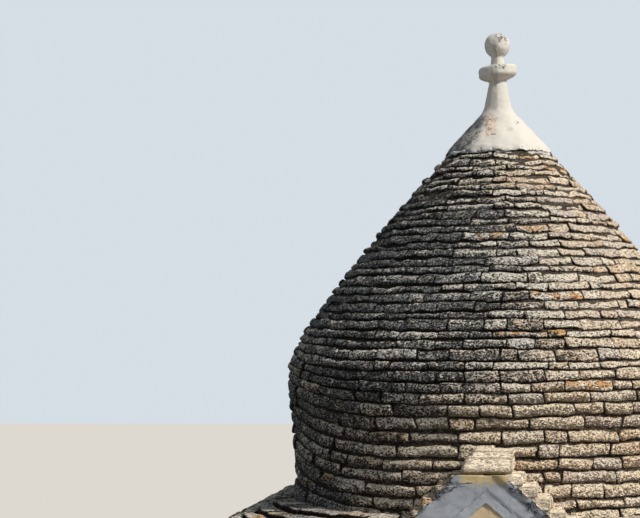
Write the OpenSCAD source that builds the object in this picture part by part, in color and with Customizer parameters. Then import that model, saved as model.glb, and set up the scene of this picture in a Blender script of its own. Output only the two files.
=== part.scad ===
// Trullo house: one room under a corbelled vault, inside a dry-stone cone.
// Millimetres, +Z up. The origin is on the ground under the point of the cone,
// and the gabled doorway faces -Y.

/* [Base walls] */
// Clear width of the square room
room_w = 3000; // [2800:50:3400]
// Thickness of the whitewashed base walls
wall_t = 1100; // [950:25:1300]
// Height of the base walls, from the ground to the skirt roof
wall_h = 1800; // [1700:20:2200]
// Radius of the outer wall corners
corner_r = 700; // [400:50:900]

/* [Floor] */
// Thickness of the stone floor
floor_t = 50; // [40:5:100]
// Thickness of the corner slabs that carry the round vault on the square room
slab_t = 120; // [80:10:160]
// Depth that each corner slab runs into the walls
slab_seat = 120; // [60:10:200]

/* [Doorway] */
// Clear width between the jambs
door_w = 860; // [700:20:1000]
// Width of each jamb stone
jamb_w = 160; // [100:10:220]
// Depth of each jamb stone, front to back
jamb_d = 300; // [200:10:400]
// Height of the threshold stone
threshold_h = 60; // [50:5:120]
// Depth of the threshold stone, front to back
threshold_d = 420; // [300:10:600]
// Height of the lintel slabs
lintel_h = 180; // [120:10:220]
// Length of each lintel end that rests on a wall
lintel_seat = 200; // [120:10:250]

/* [Doorway head] */
// Height of the pointed panel over the doorway
panel_rise = 380; // [300:5:420]
// Thickness of the pointed panel
panel_t = 60; // [40:5:80]
// Depth of the panel's face behind the gable's face
panel_recess = 40; // [20:5:60]
// Width of each panel end that rests on a jamb
panel_seat = 30; // [20:5:60]
// Width of the raised band round the panel
hood_w = 100; // [60:5:110]
// Distance that the raised band stands out of the gable
hood_t = 25; // [15:5:40]

/* [Gable] */
// Height of the plastered gable above the base walls
gable_h = 640; // [560:10:700]
// Half width of the gable's flat top
gable_top = 170; // [150:5:225]
// Slope of the gable's sides, in degrees
gable_slope = 42; // [39:1:46]
// Height of one course of the gable's stone covering
gable_course = 108; // [90:2:140]
// Horizontal thickness of the gable's stone covering
gable_cover = 65; // [50:5:140]
// Distance that the covering stands out in front of the gable
gable_proud = 20; // [10:5:40]
// Width of the stone on the gable's top
crest_w = 490; // [470:10:560]
// Height of the stone on the gable's top
crest_h = 210; // [160:10:260]

/* [Skirt roof] */
// Distance that the skirt's edge overhangs the base walls
skirt_overhang = 50; // [45:5:80]
// Thickness of the skirt's outer edge
skirt_edge = 80; // [50:5:110]
// Height at which the skirt meets the drum, above the base walls
skirt_rise = 220; // [200:10:400]
// Height of one course of slabs above the outer edge
skirt_course = 35; // [25:5:60]
// Width of the skirt's top edge, against the drum
skirt_ledge = 40; // [20:5:80]

/* [Shell] */
// Horizontal thickness of the corbelled vault's stones
vault_t = 220; // [180:10:260]
// Thickness of the rubble between the vault's foot and the drum
fill_t = 202; // [160:2:240]
// Least thickness of the rubble between the vault and the cone's stones
fill_min = 60; // [30:5:100]
// Horizontal thickness of the outer stones
cover_t = 240; // [200:10:280]

/* [Drum] */
// Height of the drum, from the base walls to the eave
drum_h = 1350; // [1200:50:1600]
// Height of one drum course
drum_course = 125; // [100:5:150]
// Depth of the joint between two courses, on the drum and on the cone
joint_d = 12; // [6:1:20]
// Distance that the eave swells out beyond the drum
eave_swell = 58; // [30:2:80]
// Height over which the eave swells
eave_flare = 420; // [300:20:600]

/* [Cone] */
// Height of the stone cone, from the eave to the plaster cap
cone_h = 2410; // [2250:20:2650]
// Radius of the cone under the plaster cap
cone_top_r = 520; // [480:10:600]
// Height of the rounded brow between the eave and the cone's side
brow_h = 300; // [240:5:350]
// Softness of the brow's curve
brow_round = 220; // [150:10:450]
// Distance that the cone's side bulges out half way up
cone_belly = 60; // [0:5:90]
// Height of the cone's lowest course
course_low = 100; // [80:2:120]
// Height of the cone's highest course
course_high = 62; // [50:2:80]
// Overhang of each course over the one below
course_lip = 15; // [8:1:24]

/* [Vault] */
// Height of one corbelled course
vault_course = 150; // [120:5:180]
// Radius of the opening that the capstone closes
vault_top_r = 200; // [150:10:230]
// Softness of the curve from the upright foot into the straight side
vault_round = 1200; // [800:50:1300]
// Thickness of the capstone
capstone_t = 120; // [80:10:160]
// Width of the capstone's rest on the top course
capstone_seat = 160; // [100:10:170]

/* [Plaster cap] */
// Height of the plaster cap
cap_h = 408; // [360:4:520]
// Overhang of the cap's edge over the top course
cap_lip = 15; // [5:5:30]
// Thickness of the cap's edge
cap_edge = 22; // [10:2:40]

/* [Finial] */
// Radius of the neck's foot
neck_foot_r = 156; // [130:2:180]
// Radius of the neck's top
neck_top_r = 90; // [80:2:110]
// Growth of the neck's radius from its top down, for each unit of height
neck_taper = 0.2; // [0.05:0.01:0.25]
// Softness of the curve from the neck into the cap
flare_round = 30; // [20:5:160]
// Height of the neck
neck_h = 315; // [250:5:360]
// Radius of the disc
disc_r = 200; // [160:5:240]
// Height of the disc, from its underside to its top
disc_h = 165; // [130:5:190]
// Height of the disc's sloping underside
disc_under = 60; // [40:2:80]
// Radius of the collar's foot, on the disc
collar_r = 78; // [66:2:88]
// Radius of the collar's top, under the ball
collar_top_r = 64; // [56:2:80]
// Height of the collar
collar_h = 90; // [60:5:110]
// Radius of the ball
ball_r = 136; // [115:2:160]

/* [Hidden] */
$fn = 96;
ROOF_BANDS = 6;
VAULT_BANDS = 4;
CAP_STEPS = 10;
NECK_STEPS = 6;

// Clearance between curved faces that lie on each other
seat_gap = 0.3;
// Share by which one course differs in height from its neighbours
COURSE_WOBBLE = 0.12;
WOBBLE_STEP = 137;

room_half = room_w / 2;
base_half = room_half + wall_t;
drum_in_r = room_half + vault_t + fill_t;
drum_r = drum_in_r + cover_t;
eave_r = drum_r + eave_swell;
eave_z = wall_h + drum_h;
cone_top_z = eave_z + cone_h;
// Run of the cone's side for each unit of height
side_run = (eave_r - cone_top_r) / (cone_h - brow_h);
// Least horizontal thickness of the whole shell, in the cone's side
shell_t = cover_t + fill_min + vault_t + side_run * vault_course;
vault_top_z = cone_top_z - (vault_top_r + shell_t - cone_top_r) / side_run;
vault_h = vault_top_z - wall_h;
skirt_top_z = wall_h + skirt_rise;
skirt_steps = max(2, round((skirt_rise - skirt_edge) / skirt_course));

panel_half = door_w / 2 + panel_seat;
panel_back_y = -base_half + panel_recess + panel_t;
panel_slope = atan(panel_rise / panel_half);
lintel_half = door_w / 2 + lintel_seat;
lintel_run = -room_half - panel_back_y;

gable_z = wall_h + gable_h;
gable_base = gable_top + gable_h / tan(gable_slope);

cap_edge_r = cone_top_r + cap_lip;
neck_z = cone_top_z + cap_h;
disc_z = neck_z + neck_h;
collar_z = disc_z + disc_h;
ball_flat = sqrt(ball_r * ball_r - collar_top_r * collar_top_r);
ball_z = collar_z + collar_h + ball_flat;

function mix(a, b, t) = a + (b - a) * t;
function total(v, n) = n <= 0 ? 0 : v[n - 1] + total(v, n - 1);

// Levels of a stack of courses whose heights run from low to high
function course_levels(z0, height, low, high) =
    let (n = max(2, round(2 * height / (low + high))),
         h = [for (k = [0:n - 1]) mix(low, high, k / (n - 1)) * (1 + COURSE_WOBBLE * sin(WOBBLE_STEP * k))],
         sum = total(h, n))
    [for (k = [0:n]) z0 + height * total(h, k) / sum];

// Index of the first course of band i out of n bands
function band_start(levels, i, n) = round((len(levels) - 1) * i / n);

// Smaller of two lengths, with their crossing rounded over the length k
function soft_min(a, b, k) = let (h = max(0, k - abs(a - b)) / k) min(a, b) - h * h * k / 4;
function soft_max(a, b, k) = -soft_min(-a, -b, k);

// Radius of the straight line along the cone's side
function cone_side_r(z) = cone_top_r + side_run * (cone_top_z - z);
// Distance that the cone's side stands outside that line
function cone_bulge(z) = cone_belly * max(0, sin(180 * (cone_top_z - z) / (cone_h - brow_h)));
// Outer radius of the stone cone at a height: an upright brow that bends into the bulging side
function cone_r(z) = soft_min(eave_r, cone_side_r(z) + cone_bulge(z), brow_round);
// Inner radius of the cone's stones at a height
function cone_in_r(z) = cone_r(z) - cover_t;

// Radius of the plaster, from the cap's edge up to the neck's top
function plaster_r(z) = soft_max(
    neck_top_r + neck_taper * (disc_z - z),
    cap_edge_r - (cap_edge_r - neck_foot_r) * (z - cone_top_z) / cap_h,
    flare_round);

// Outer radius of the drum at a height, with the swelling under the eave
function drum_face_r(z) =
    let (t = max(0, min(1, 1 - (eave_z - z) / eave_flare))) drum_r + eave_swell * t * t * (3 - 2 * t);

// Inner radius of the corbelled vault at a height: upright at its foot, then beside the cone's side
function vault_r(z) = soft_min(room_half, cone_side_r(z) - shell_t, vault_round);

// Half width of the gable's plaster at a height
function gable_edge(z) = gable_top + (gable_z - z) / tan(gable_slope);

drum_levels = course_levels(wall_h, drum_h, drum_course, drum_course);
cone_levels = course_levels(eave_z, cone_h, course_low, course_high);
vault_levels = course_levels(wall_h, vault_h, vault_course, vault_course);
gable_levels = course_levels(wall_h, gable_h, gable_course, gable_course);
drum_split = round((len(drum_levels) - 1) / 2);

// Shapes that several pieces share

module rounded_square(half, r) {
    square([2 * (half - r), 2 * half], center = true);
    square([2 * half, 2 * (half - r)], center = true);
    for (x = [-1, 1], y = [-1, 1]) translate([x * (half - r), y * (half - r)]) circle(r = r);
}

// Runs an outline drawn in X and Z from y = y0 to y = y1
module front_extrude(y0, y1) {
    translate([0, y1, 0]) rotate([90, 0, 0]) linear_extrude(y1 - y0) children();
}

// Space that the drum fills, for what butts against it
module drum_space() {
    translate([0, 0, wall_h - 1]) cylinder(r = drum_r + seat_gap, h = drum_h);
}

// Space over the doorway that the lintel slabs fill
module lintel_space() {
    translate([-lintel_half, panel_back_y, wall_h])
        cube([2 * lintel_half, base_half, lintel_h]);
}

// Sweeps a wall between inner and outer points, both from the bottom up
module ring(inner, outer) {
    turn = [for (i = [len(inner) - 1:-1:0]) inner[i]];
    rotate_extrude() polygon(concat(outer, turn));
}

// Points up one side of the gable's stepped covering
function gable_steps() = [
    for (k = [0:len(gable_levels) - 2], z = [gable_levels[k], gable_levels[k + 1]])
        [gable_edge(gable_levels[k]) + gable_cover, z]];

// Space that the gable and its covering fill, for the skirt that butts against them
module gable_space() {
    steps = gable_steps();
    left = [for (i = [len(steps) - 1:-1:0]) [-steps[i][0], steps[i][1]]];
    front_extrude(-2 * base_half, 0) polygon(concat(steps, left));
}

// Outline of the pointed panel, grown by a margin along its slopes
module panel_outline(grow) {
    rise = panel_rise + grow / cos(panel_slope);
    half = rise / tan(panel_slope);
    polygon([[-half, wall_h], [half, wall_h], [0, wall_h + rise]]);
}

// Pointed recess in the gable that the panel stands in
module panel_space() {
    front_extrude(-2 * base_half, panel_back_y) panel_outline(0);
}

// Slab across one corner of the room, let into the walls
module corner_slab(sx, sy) {
    tip = room_half + slab_seat;
    chord = sqrt(2) * room_half - tip;
    translate([0, 0, wall_h - slab_t]) linear_extrude(slab_t)
        scale([sx, sy]) polygon([[tip, chord], [tip, tip], [chord, tip]]);
}

module corner_slab_set() {
    for (sx = [-1, 1], sy = [-1, 1]) corner_slab(sx, sy);
}

// Base walls

// Base walls between two corners of a box in plan, without the corner slabs' pockets
module base_wall(x0, x1, y0, y1) {
    difference() {
        intersection() {
            linear_extrude(wall_h) rounded_square(base_half, corner_r);
            translate([x0, y0, 0]) cube([x1 - x0, y1 - y0, wall_h]);
        }
        corner_slab_set();
    }
}

// Stone beside the doorway, on the side that sx gives
module door_jamb_block(sx) {
    translate([sx > 0 ? door_w / 2 : -door_w / 2 - jamb_w, -base_half, 0]) cube([jamb_w, jamb_d, wall_h]);
}

module wall_front_left() {
    color("white") difference() {
        base_wall(-base_half, -door_w / 2, -base_half, -room_half);
        door_jamb_block(-1);
    }
}

module wall_front_right() {
    color("white") difference() {
        base_wall(door_w / 2, base_half, -base_half, -room_half);
        door_jamb_block(1);
    }
}

module wall_left() {
    color("white") base_wall(-base_half, -room_half, -room_half, room_half);
}

module wall_right() {
    color("white") base_wall(room_half, base_half, -room_half, room_half);
}

module wall_back() {
    color("white") base_wall(-base_half, base_half, room_half, base_half);
}

module corner_slabs() {
    color("gainsboro") corner_slab_set();
}

// Floor and doorway

module floor_paving() {
    inner_y = -base_half + threshold_d;
    color("darkkhaki") linear_extrude(floor_t) {
        square(room_w, center = true);
        translate([-door_w / 2, inner_y]) square([door_w, -room_half - inner_y + 1]);
    }
}

module threshold() {
    color("burlywood") translate([-door_w / 2, -base_half, 0]) cube([door_w, threshold_d, threshold_h]);
}

module door_jamb_left() {
    color("burlywood") door_jamb_block(-1);
}

module door_jamb_right() {
    color("burlywood") door_jamb_block(1);
}

// One of the three slabs over the doorway, counted from the outside
module lintel(i) {
    depth = lintel_run / 3;
    color("tan") translate([-lintel_half, panel_back_y + i * depth, wall_h])
        cube([2 * lintel_half, depth, lintel_h]);
}

module lintel_outer() {
    lintel(0);
}

module lintel_middle() {
    lintel(1);
}

module lintel_inner() {
    lintel(2);
}

module doorway_panel() {
    color("goldenrod") front_extrude(panel_back_y - panel_t, panel_back_y) panel_outline(0);
}

module doorway_hood() {
    color("whitesmoke") front_extrude(-base_half - hood_t, -base_half) difference() {
        panel_outline(hood_w);
        panel_outline(0);
    }
}

// Gable and its saddle roof

module gable_wall() {
    color("white") difference() {
        front_extrude(-base_half, 0)
            polygon([[-gable_base, wall_h], [gable_base, wall_h], [gable_top, gable_z], [-gable_top, gable_z]]);
        drum_space();
        lintel_space();
        panel_space();
    }
}

// Stepped stones that cover one slope of the gable, back to the drum
module gable_roof_half(sx) {
    color("darkgray") difference() {
        front_extrude(-base_half - gable_proud, 0) scale([sx, 1])
            polygon(concat(gable_steps(), [[gable_top, gable_z], [gable_base, wall_h]]));
        drum_space();
    }
}

module gable_roof_left() {
    gable_roof_half(-1);
}

module gable_roof_right() {
    gable_roof_half(1);
}

module gable_crest_stone() {
    bevel = crest_h / 4;
    half = crest_w / 2;
    color("silver") difference() {
        front_extrude(-base_half - gable_proud, 0) translate([0, gable_z])
            polygon([[-half, 0], [half, 0], [half, crest_h - bevel], [half - bevel, crest_h],
                     [bevel - half, crest_h], [-half, crest_h - bevel]]);
        drum_space();
    }
}

// Skirt roof, from the base walls up to the drum

// Slabs in courses, each set back from the one below, from the rounded square of the walls to the round drum
module skirt_courses() {
    for (k = [0:skirt_steps]) let (t = k / (skirt_steps + 1))
        translate([0, 0, wall_h]) linear_extrude(mix(skirt_edge, skirt_rise, k / skirt_steps))
            rounded_square(mix(base_half + skirt_overhang, drum_r + skirt_ledge, t),
                           mix(corner_r + skirt_overhang, drum_r + skirt_ledge, t));
}

module skirt_quarter(sx, sy) {
    reach = 2 * base_half;
    color("gray") difference() {
        intersection() {
            skirt_courses();
            translate([sx > 0 ? 0 : -reach, sy > 0 ? 0 : -reach, wall_h]) cube([reach, reach, skirt_rise]);
        }
        drum_space();
        if (sy < 0) gable_space();
    }
}

module skirt_front_left() {
    skirt_quarter(-1, -1);
}

module skirt_front_right() {
    skirt_quarter(1, -1);
}

module skirt_back_left() {
    skirt_quarter(-1, 1);
}

module skirt_back_right() {
    skirt_quarter(1, 1);
}

// Drum

// Drum courses from level a to level b, each face set off by recessed joints
module drum_band(a, b) {
    outer = [for (k = [a:b - 1]) let (z0 = drum_levels[k], z1 = drum_levels[k + 1])
        each [[drum_face_r(z0) - joint_d, z0], [drum_face_r(z0), z0 + joint_d],
              [drum_face_r(z1), z1 - joint_d], [drum_face_r(z1) - joint_d, z1]]];
    color("gray") difference() {
        ring([[drum_in_r, drum_levels[a]], [drum_in_r, drum_levels[b]]], outer);
        lintel_space();
    }
}

module drum_courses_lower() {
    drum_band(0, drum_split);
}

module drum_courses_upper() {
    drum_band(drum_split, len(drum_levels) - 1);
}

// Cone

// Band i of the cone's courses. Each course overhangs the one below, over a recessed joint.
module roof_courses(i) {
    a = band_start(cone_levels, i - 1, ROOF_BANDS);
    b = band_start(cone_levels, i, ROOF_BANDS);
    outer = [for (k = [a:b - 1]) let (z0 = cone_levels[k], z1 = cone_levels[k + 1])
        each [[cone_r(z0) + course_lip - joint_d, z0], [cone_r(z0 + joint_d) + course_lip, z0 + joint_d],
              [cone_r(z1 - joint_d), z1 - joint_d], [cone_r(z1) - joint_d, z1]]];
    inner = [for (k = [a:b]) [cone_in_r(cone_levels[k]), cone_levels[k]]];
    color("darkgray") ring(inner, outer);
}

// Vault

// Outer radius of the vault's stones in course k
function vault_back_r(k) = vault_r(vault_levels[k]) + vault_t;

// Band i of the vault's courses. Each course reaches further in than the one below.
module vault_courses(i) {
    a = band_start(vault_levels, i - 1, VAULT_BANDS);
    b = band_start(vault_levels, i, VAULT_BANDS);
    inner = [for (k = [a:b - 1], z = [vault_levels[k], vault_levels[k + 1]]) [vault_r(vault_levels[k]), z]];
    outer = [for (k = [a:b - 1], z = [vault_levels[k], vault_levels[k + 1]]) [vault_back_r(k), z]];
    color("beige") difference() {
        ring(inner, outer);
        if (i == 1) lintel_space();
    }
}

module vault_capstone() {
    color("beige") translate([0, 0, vault_top_z]) cylinder(r = vault_top_r + capstone_seat, h = capstone_t);
}

// Space inside the vault's outer face, capstone included
module vault_space() {
    rotate_extrude() polygon(concat([[0, wall_h - 1]],
        [for (k = [0:len(vault_levels) - 2], z = [vault_levels[k], vault_levels[k + 1]])
            [vault_back_r(k) + seat_gap, z]],
        [[vault_top_r + capstone_seat + seat_gap, vault_top_z],
         [vault_top_r + capstone_seat + seat_gap, vault_top_z + capstone_t],
         [0, vault_top_z + capstone_t]]));
}

module rubble_fill_lower() {
    color("rosybrown") difference() {
        translate([0, 0, wall_h]) cylinder(r = drum_in_r - seat_gap, h = drum_h);
        vault_space();
        lintel_space();
    }
}

module rubble_fill_upper() {
    outer = [for (z = cone_levels) [cone_in_r(z) - seat_gap, z]];
    color("rosybrown") difference() {
        rotate_extrude() polygon(concat([[0, eave_z]], outer, [[0, cone_top_z]]));
        vault_space();
    }
}

// Plaster cap and finial

module plaster_cap() {
    z0 = cone_top_z + cap_edge;
    side = [for (i = [0:CAP_STEPS]) let (z = mix(z0, neck_z, i / CAP_STEPS)) [plaster_r(z), z]];
    color("white") rotate_extrude() polygon(concat(
        [[0, cone_top_z], [cap_edge_r, cone_top_z]], side, [[0, neck_z]]));
}

module finial_neck() {
    side = [for (i = [0:NECK_STEPS]) let (z = mix(neck_z, disc_z, i / NECK_STEPS)) [plaster_r(z), z]];
    color("white") rotate_extrude() polygon(concat([[0, neck_z]], side, [[0, disc_z]]));
}

module finial_disc() {
    edge = (disc_h - disc_under) / 4;
    color("white") translate([0, 0, disc_z]) rotate_extrude() polygon([
        [0, 0], [neck_top_r, 0], [disc_r - edge, disc_under - edge], [disc_r, disc_under],
        [disc_r, disc_h - edge], [disc_r - edge, disc_h], [0, disc_h]]);
}

module finial_collar() {
    color("white") translate([0, 0, collar_z]) cylinder(r1 = collar_r, r2 = collar_top_r, h = collar_h);
}

module finial_ball() {
    color("white") difference() {
        translate([0, 0, ball_z]) sphere(r = ball_r);
        translate([0, 0, ball_z - ball_flat - ball_r]) cylinder(r = 2 * ball_r, h = ball_r);
    }
}

wall_front_left();
wall_front_right();
wall_left();
wall_right();
wall_back();
floor_paving();
threshold();
door_jamb_left();
door_jamb_right();
lintel_outer();
lintel_middle();
lintel_inner();
doorway_panel();
doorway_hood();
gable_wall();
gable_roof_left();
gable_roof_right();
gable_crest_stone();
skirt_front_left();
skirt_front_right();
skirt_back_left();
skirt_back_right();
corner_slabs();
drum_courses_lower();
drum_courses_upper();
for (i = [1:ROOF_BANDS]) roof_courses(i);
for (i = [1:VAULT_BANDS]) vault_courses(i);
vault_capstone();
rubble_fill_lower();
rubble_fill_upper();
plaster_cap();
finial_neck();
finial_disc();
finial_collar();
finial_ball();
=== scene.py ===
"""Dresses the trullo house: stone courses, limewashed walls, a plastered gable and a plaster finial.

Every size is in metres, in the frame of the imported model, and most come from the boxes of its nodes.
"""

from __future__ import annotations

import logging
import math
from dataclasses import dataclass, field, replace
from enum import Enum
from typing import Callable, Iterable

import bpy
import numpy as np
from mathutils import Matrix, Vector


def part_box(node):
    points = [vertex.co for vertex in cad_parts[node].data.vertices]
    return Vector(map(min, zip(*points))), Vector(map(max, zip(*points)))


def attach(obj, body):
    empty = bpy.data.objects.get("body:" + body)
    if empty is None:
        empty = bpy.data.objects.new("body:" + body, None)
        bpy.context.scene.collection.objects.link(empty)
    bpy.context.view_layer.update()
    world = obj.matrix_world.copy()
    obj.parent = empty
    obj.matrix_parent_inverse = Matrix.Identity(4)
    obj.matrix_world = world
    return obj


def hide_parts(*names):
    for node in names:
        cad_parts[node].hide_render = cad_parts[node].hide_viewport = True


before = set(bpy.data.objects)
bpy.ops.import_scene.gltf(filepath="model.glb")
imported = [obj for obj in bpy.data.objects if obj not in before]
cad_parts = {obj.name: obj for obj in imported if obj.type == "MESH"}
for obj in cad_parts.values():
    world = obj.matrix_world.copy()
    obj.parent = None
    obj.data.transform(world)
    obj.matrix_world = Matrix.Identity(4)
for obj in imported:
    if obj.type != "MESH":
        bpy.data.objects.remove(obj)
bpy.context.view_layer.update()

LOG = logging.getLogger("trullo")
TURN = 2.0 * math.pi
STEP = 0.001
TINY = 1e-9
BODY = "root"

MARKS = "marks"
# Marks of the dark cores behind the joints, which paint the shade there.
DARK_MARKS = (0.5, 0.5, 0.0, 0.0)

# Plan direction of the sunny side, where the sun dries and lights the stone, and the heights between which
# the
# darkening changes: from the drum to the roof, up the roof's brow, and towards its top. The darkening away
# from the sunny side is partly lichen and partly painted shade.
SUNNY_SIDE = (0.966, -0.259)
EAVE = (2.8, 3.5)
BROW = (3.5, 4.0)
CROWN = (4.7, 5.3)

# Arrays of places, shape (..., 3), and of one value or more per place; a rule gives places their values.
Points = np.ndarray
Values = np.ndarray
Rule = Callable[[Points], Values]
Random = np.random.Generator
Piece = bpy.types.Object
Material = bpy.types.Material
Tree = bpy.types.NodeTree
Node = bpy.types.Node
Socket = bpy.types.NodeSocket


class Slot(Enum):
    """The record's material slots."""

    WHITEWASH = "whitewash"
    PAVING = "paving"
    DOOR_STONE = "door_stone"
    OCHRE_STONE = "ochre_stone"
    GABLE_PLASTER = "gable_plaster"
    DRY_STONE = "dry_stone"
    PALE_STONE = "pale_stone"
    FINIAL_PLASTER = "finial_plaster"


class Side(Enum):
    """Left or right of the doorway, as seen from in front of it."""

    LEFT = -1
    RIGHT = 1


# Noise and small vector helpers


def around(turn: Values, radius: Values, height: Values | float) -> Points:
    """Places round the house's axis, at angles from the front towards +X."""
    return np.stack(np.broadcast_arrays(radius * np.sin(turn), -radius * np.cos(turn), height), axis=-1)


def lattice(cell: Points, seed: int) -> Values:
    """Gives each whole-numbered cell corner a fixed value from -1 to 1.

    Args:
        cell: whole-numbered corners, shape (..., 3).
        seed: picks one of many patterns.

    Returns:
        One value per corner.
    """
    mixed = cell[..., 0] * 73856093 ^ cell[..., 1] * 19349663 ^ cell[..., 2] * 83492791
    mixed = mixed ^ (seed * 2654435761 & 0x7FFFFFFF)
    mixed = (mixed ^ (mixed >> 13)) * 1274126177 & 0x7FFFFFFF
    mixed = (mixed ^ (mixed >> 15)) * 668265263 & 0x7FFFFFFF
    return (mixed & 0xFFFF) / 32767.5 - 1.0


def lumps(points: Points, size: float, seed: int) -> Values:
    """Smooth solid noise.

    Args:
        points: places in metres, shape (..., 3).
        size: distance between two lumps, in metres.
        seed: picks one of many patterns.

    Returns:
        A value from -1 to 1 for each point.
    """
    scaled = points / size
    low = np.floor(scaled)
    part = scaled - low
    part = part * part * (3.0 - 2.0 * part)
    low = low.astype(np.int64)
    total = np.zeros(points.shape[:-1])
    for corner in np.ndindex(2, 2, 2):
        weight = np.ones(points.shape[:-1])
        for axis, high in enumerate(corner):
            weight = weight * (part[..., axis] if high else 1.0 - part[..., axis])
        total += weight * lattice(low + np.array(corner), seed)
    return total


def roughness(points: Points, size: float, seed: int) -> Values:
    """Three layers of lumps, each half as large and half as strong as the last.

    Args:
        points: places in metres, shape (..., 3).
        size: distance between two of the largest lumps, in metres.
        seed: picks one of many patterns.

    Returns:
        A value of about -1 to 1 for each point.
    """
    total = np.zeros(points.shape[:-1])
    for layer in range(3):
        total += lumps(points, size / 2**layer, seed + layer) / 2**layer
    return total / 1.5


def soft_step(value: Values | float, low: float, high: float) -> Values:
    """Soft step from 0 at low to 1 at high."""
    share = np.clip((value - low) / (high - low), 0.0, 1.0)
    return share * share * (3 - 2 * share)


def soft_drop(value: Values | float, low: float, high: float) -> Values:
    """Soft step from 1 at low to 0 at high."""
    return 1 - soft_step(value, low, high)


def no_wash(points: Points) -> Values:
    """No limewash at any point."""
    return np.zeros(points.shape[:-1])


def edge_spaced(length: Values, radius: Values, cells: int) -> Values:
    """Places along a stone's side, close together where its edges are rounded.

    Args:
        length: the side's length, one per stone.
        radius: the edge's radius, one per stone.
        cells: cells between the two rounded ends.

    Returns:
        Places from -length / 2 to length / 2, shape (stones, cells + 7).
    """
    bends = np.array([0.0, 0.1, 0.38, 1.0])
    near = -length[:, None] / 2 + radius[:, None] * bends
    far = -near[:, ::-1]
    shares = np.linspace(0.0, 1.0, cells + 1)[1:-1]
    middle = near[:, -1:] + (far[:, :1] - near[:, -1:]) * shares
    return np.concatenate([near, middle, far], axis=1)


def read_rows(rows: bpy.types.bpy_prop_collection, key: str) -> Values:
    """Reads a vector of each row of a mesh's data, shape (n, 3)."""
    flat = np.empty(len(rows) * 3, np.float32)
    rows.foreach_get(key, flat)
    return flat.reshape(-1, 3).astype(float)


def node_points(*names: str) -> Points:
    """Every point of the CAD nodes' meshes, shape (n, 3)."""
    return np.concatenate([read_rows(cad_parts[name].data.vertices, "co") for name in names])


def node_profile(*names: str) -> tuple[Values, Values]:
    """Radius and height of every point of the CAD nodes' meshes, the height to the millimetre."""
    points = node_points(*names)
    return np.hypot(points[:, 0], points[:, 1]), np.round(points[:, 2], 3)


def next_length(room: float, drawn: float, least: float) -> float:
    """The drawn length, or all the room left where less than the least would be left over."""
    length = min(drawn, room)
    return room if room - length < least else length


def write_marks(mesh: bpy.types.Mesh, marks: Values) -> None:
    """Writes the four marks of each of a mesh's points, from 0 to 1."""
    layer = mesh.attributes.new(MARKS, "FLOAT_COLOR", "POINT")
    layer.data.foreach_set("color", np.clip(marks, 0.0, 1.0).astype(np.float32).ravel())


def new_object(name: str, data: bpy.types.ID) -> Piece:
    """Adds an object to the scene."""
    made = bpy.data.objects.new(name, data)
    bpy.context.scene.collection.objects.link(made)
    return made


# Meshes


@dataclass
class MeshSheet:
    """Collects points and faces of one piece, and makes its mesh."""

    points: list[Values] = field(default_factory=list)
    marks: list[Values] = field(default_factory=list)
    faces: list[Values] = field(default_factory=list)
    count: int = 0

    def add(self, points: Points, faces: Iterable[Values], marks: Values | tuple[float, ...]) -> None:
        """Adds points and the faces between them.

        Args:
            points: places, shape (..., 3).
            faces: arrays of point numbers, one row per face.
            marks: each point's tone, warmth, openness and limewash, shape (..., 4), or one set for all.
        """
        self.marks.append(np.broadcast_to(marks, (*points.shape[:-1], 4)).reshape(-1, 4))
        points = points.reshape(-1, 3)
        self.points.append(points)
        for rows in faces:
            self.faces.append(np.asarray(rows, dtype=np.int32) + self.count)
        self.count += len(points)

    def build(self, name: str) -> Piece:
        """Makes the piece, whose faces shade as one smooth surface.

        Args:
            name: the piece's name.

        Returns:
            The new object, in the scene.
        """
        points = np.concatenate(self.points).astype(np.float32)
        corners = np.concatenate([rows.ravel() for rows in self.faces])
        totals = np.concatenate([np.full(len(rows), rows.shape[1], np.int32) for rows in self.faces])
        starts = np.concatenate([[0], np.cumsum(totals)[:-1]]).astype(np.int32)
        mesh = bpy.data.meshes.new(name)
        mesh.vertices.add(len(points))
        mesh.vertices.foreach_set("co", points.ravel())
        mesh.loops.add(len(corners))
        mesh.loops.foreach_set("vertex_index", corners)
        mesh.polygons.add(len(totals))
        mesh.polygons.foreach_set("loop_start", starts)
        mesh.polygons.foreach_set("loop_total", totals)
        mesh.polygons.foreach_set("use_smooth", np.full(len(totals), True))
        write_marks(mesh, np.concatenate(self.marks))
        mesh.update(calc_edges=True)
        mesh.validate()
        return new_object(name, mesh)


def grid_faces(rows: int, columns: int, wrap: bool = False) -> Values:
    """Four-sided faces between the points of a grid.

    Args:
        rows: rows of points.
        columns: points in each row.
        wrap: whether the last column joins the first.

    Returns:
        Point numbers, one row per face.
    """
    last = columns if wrap else columns - 1
    row, column = np.meshgrid(np.arange(rows - 1), np.arange(last), indexing="ij")
    after = (column + 1) % columns
    low, high = row * columns, (row + 1) * columns
    quads = [low + column, low + after, high + after, high + column]
    return np.stack([corner.ravel() for corner in quads], axis=1)


def rim_numbers(rows: int, columns: int) -> Values:
    """Numbers of a grid's outer points, in order round it, from its first point along its first row.

    Args:
        rows: rows of points.
        columns: points in each row.

    Returns:
        The numbers.
    """
    last = (rows - 1) * columns
    return np.concatenate([
        np.arange(columns - 1),
        np.arange(rows - 1) * columns + columns - 1,
        np.arange(last + columns - 1, last, -1),
        np.arange(last, 0, -columns),
    ])


def stone_numbers(number: int, rows: int, columns: int) -> list[Values]:
    """Point numbers of the faces of many stones, each a grid of points and a ring behind the grid's rim.

    Args:
        number: how many stones there are.
        rows: points up each stone's front.
        columns: points across it.

    Returns:
        The faces of the fronts, of the sides and of the backs.
    """
    rim = rim_numbers(rows, columns)
    size, ring = rows * columns, np.arange(len(rim))
    sides = np.stack([rim, size + ring, size + (ring + 1) % len(rim), np.roll(rim, -1)], axis=1)
    back = (size + ring)[None, ::-1]
    offset = (np.arange(number) * (size + len(rim)))[:, None, None]
    return [(part + offset).reshape(-1, part.shape[1]) for part in (grid_faces(rows, columns), sides, back)]


# Surfaces that courses are laid on


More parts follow.
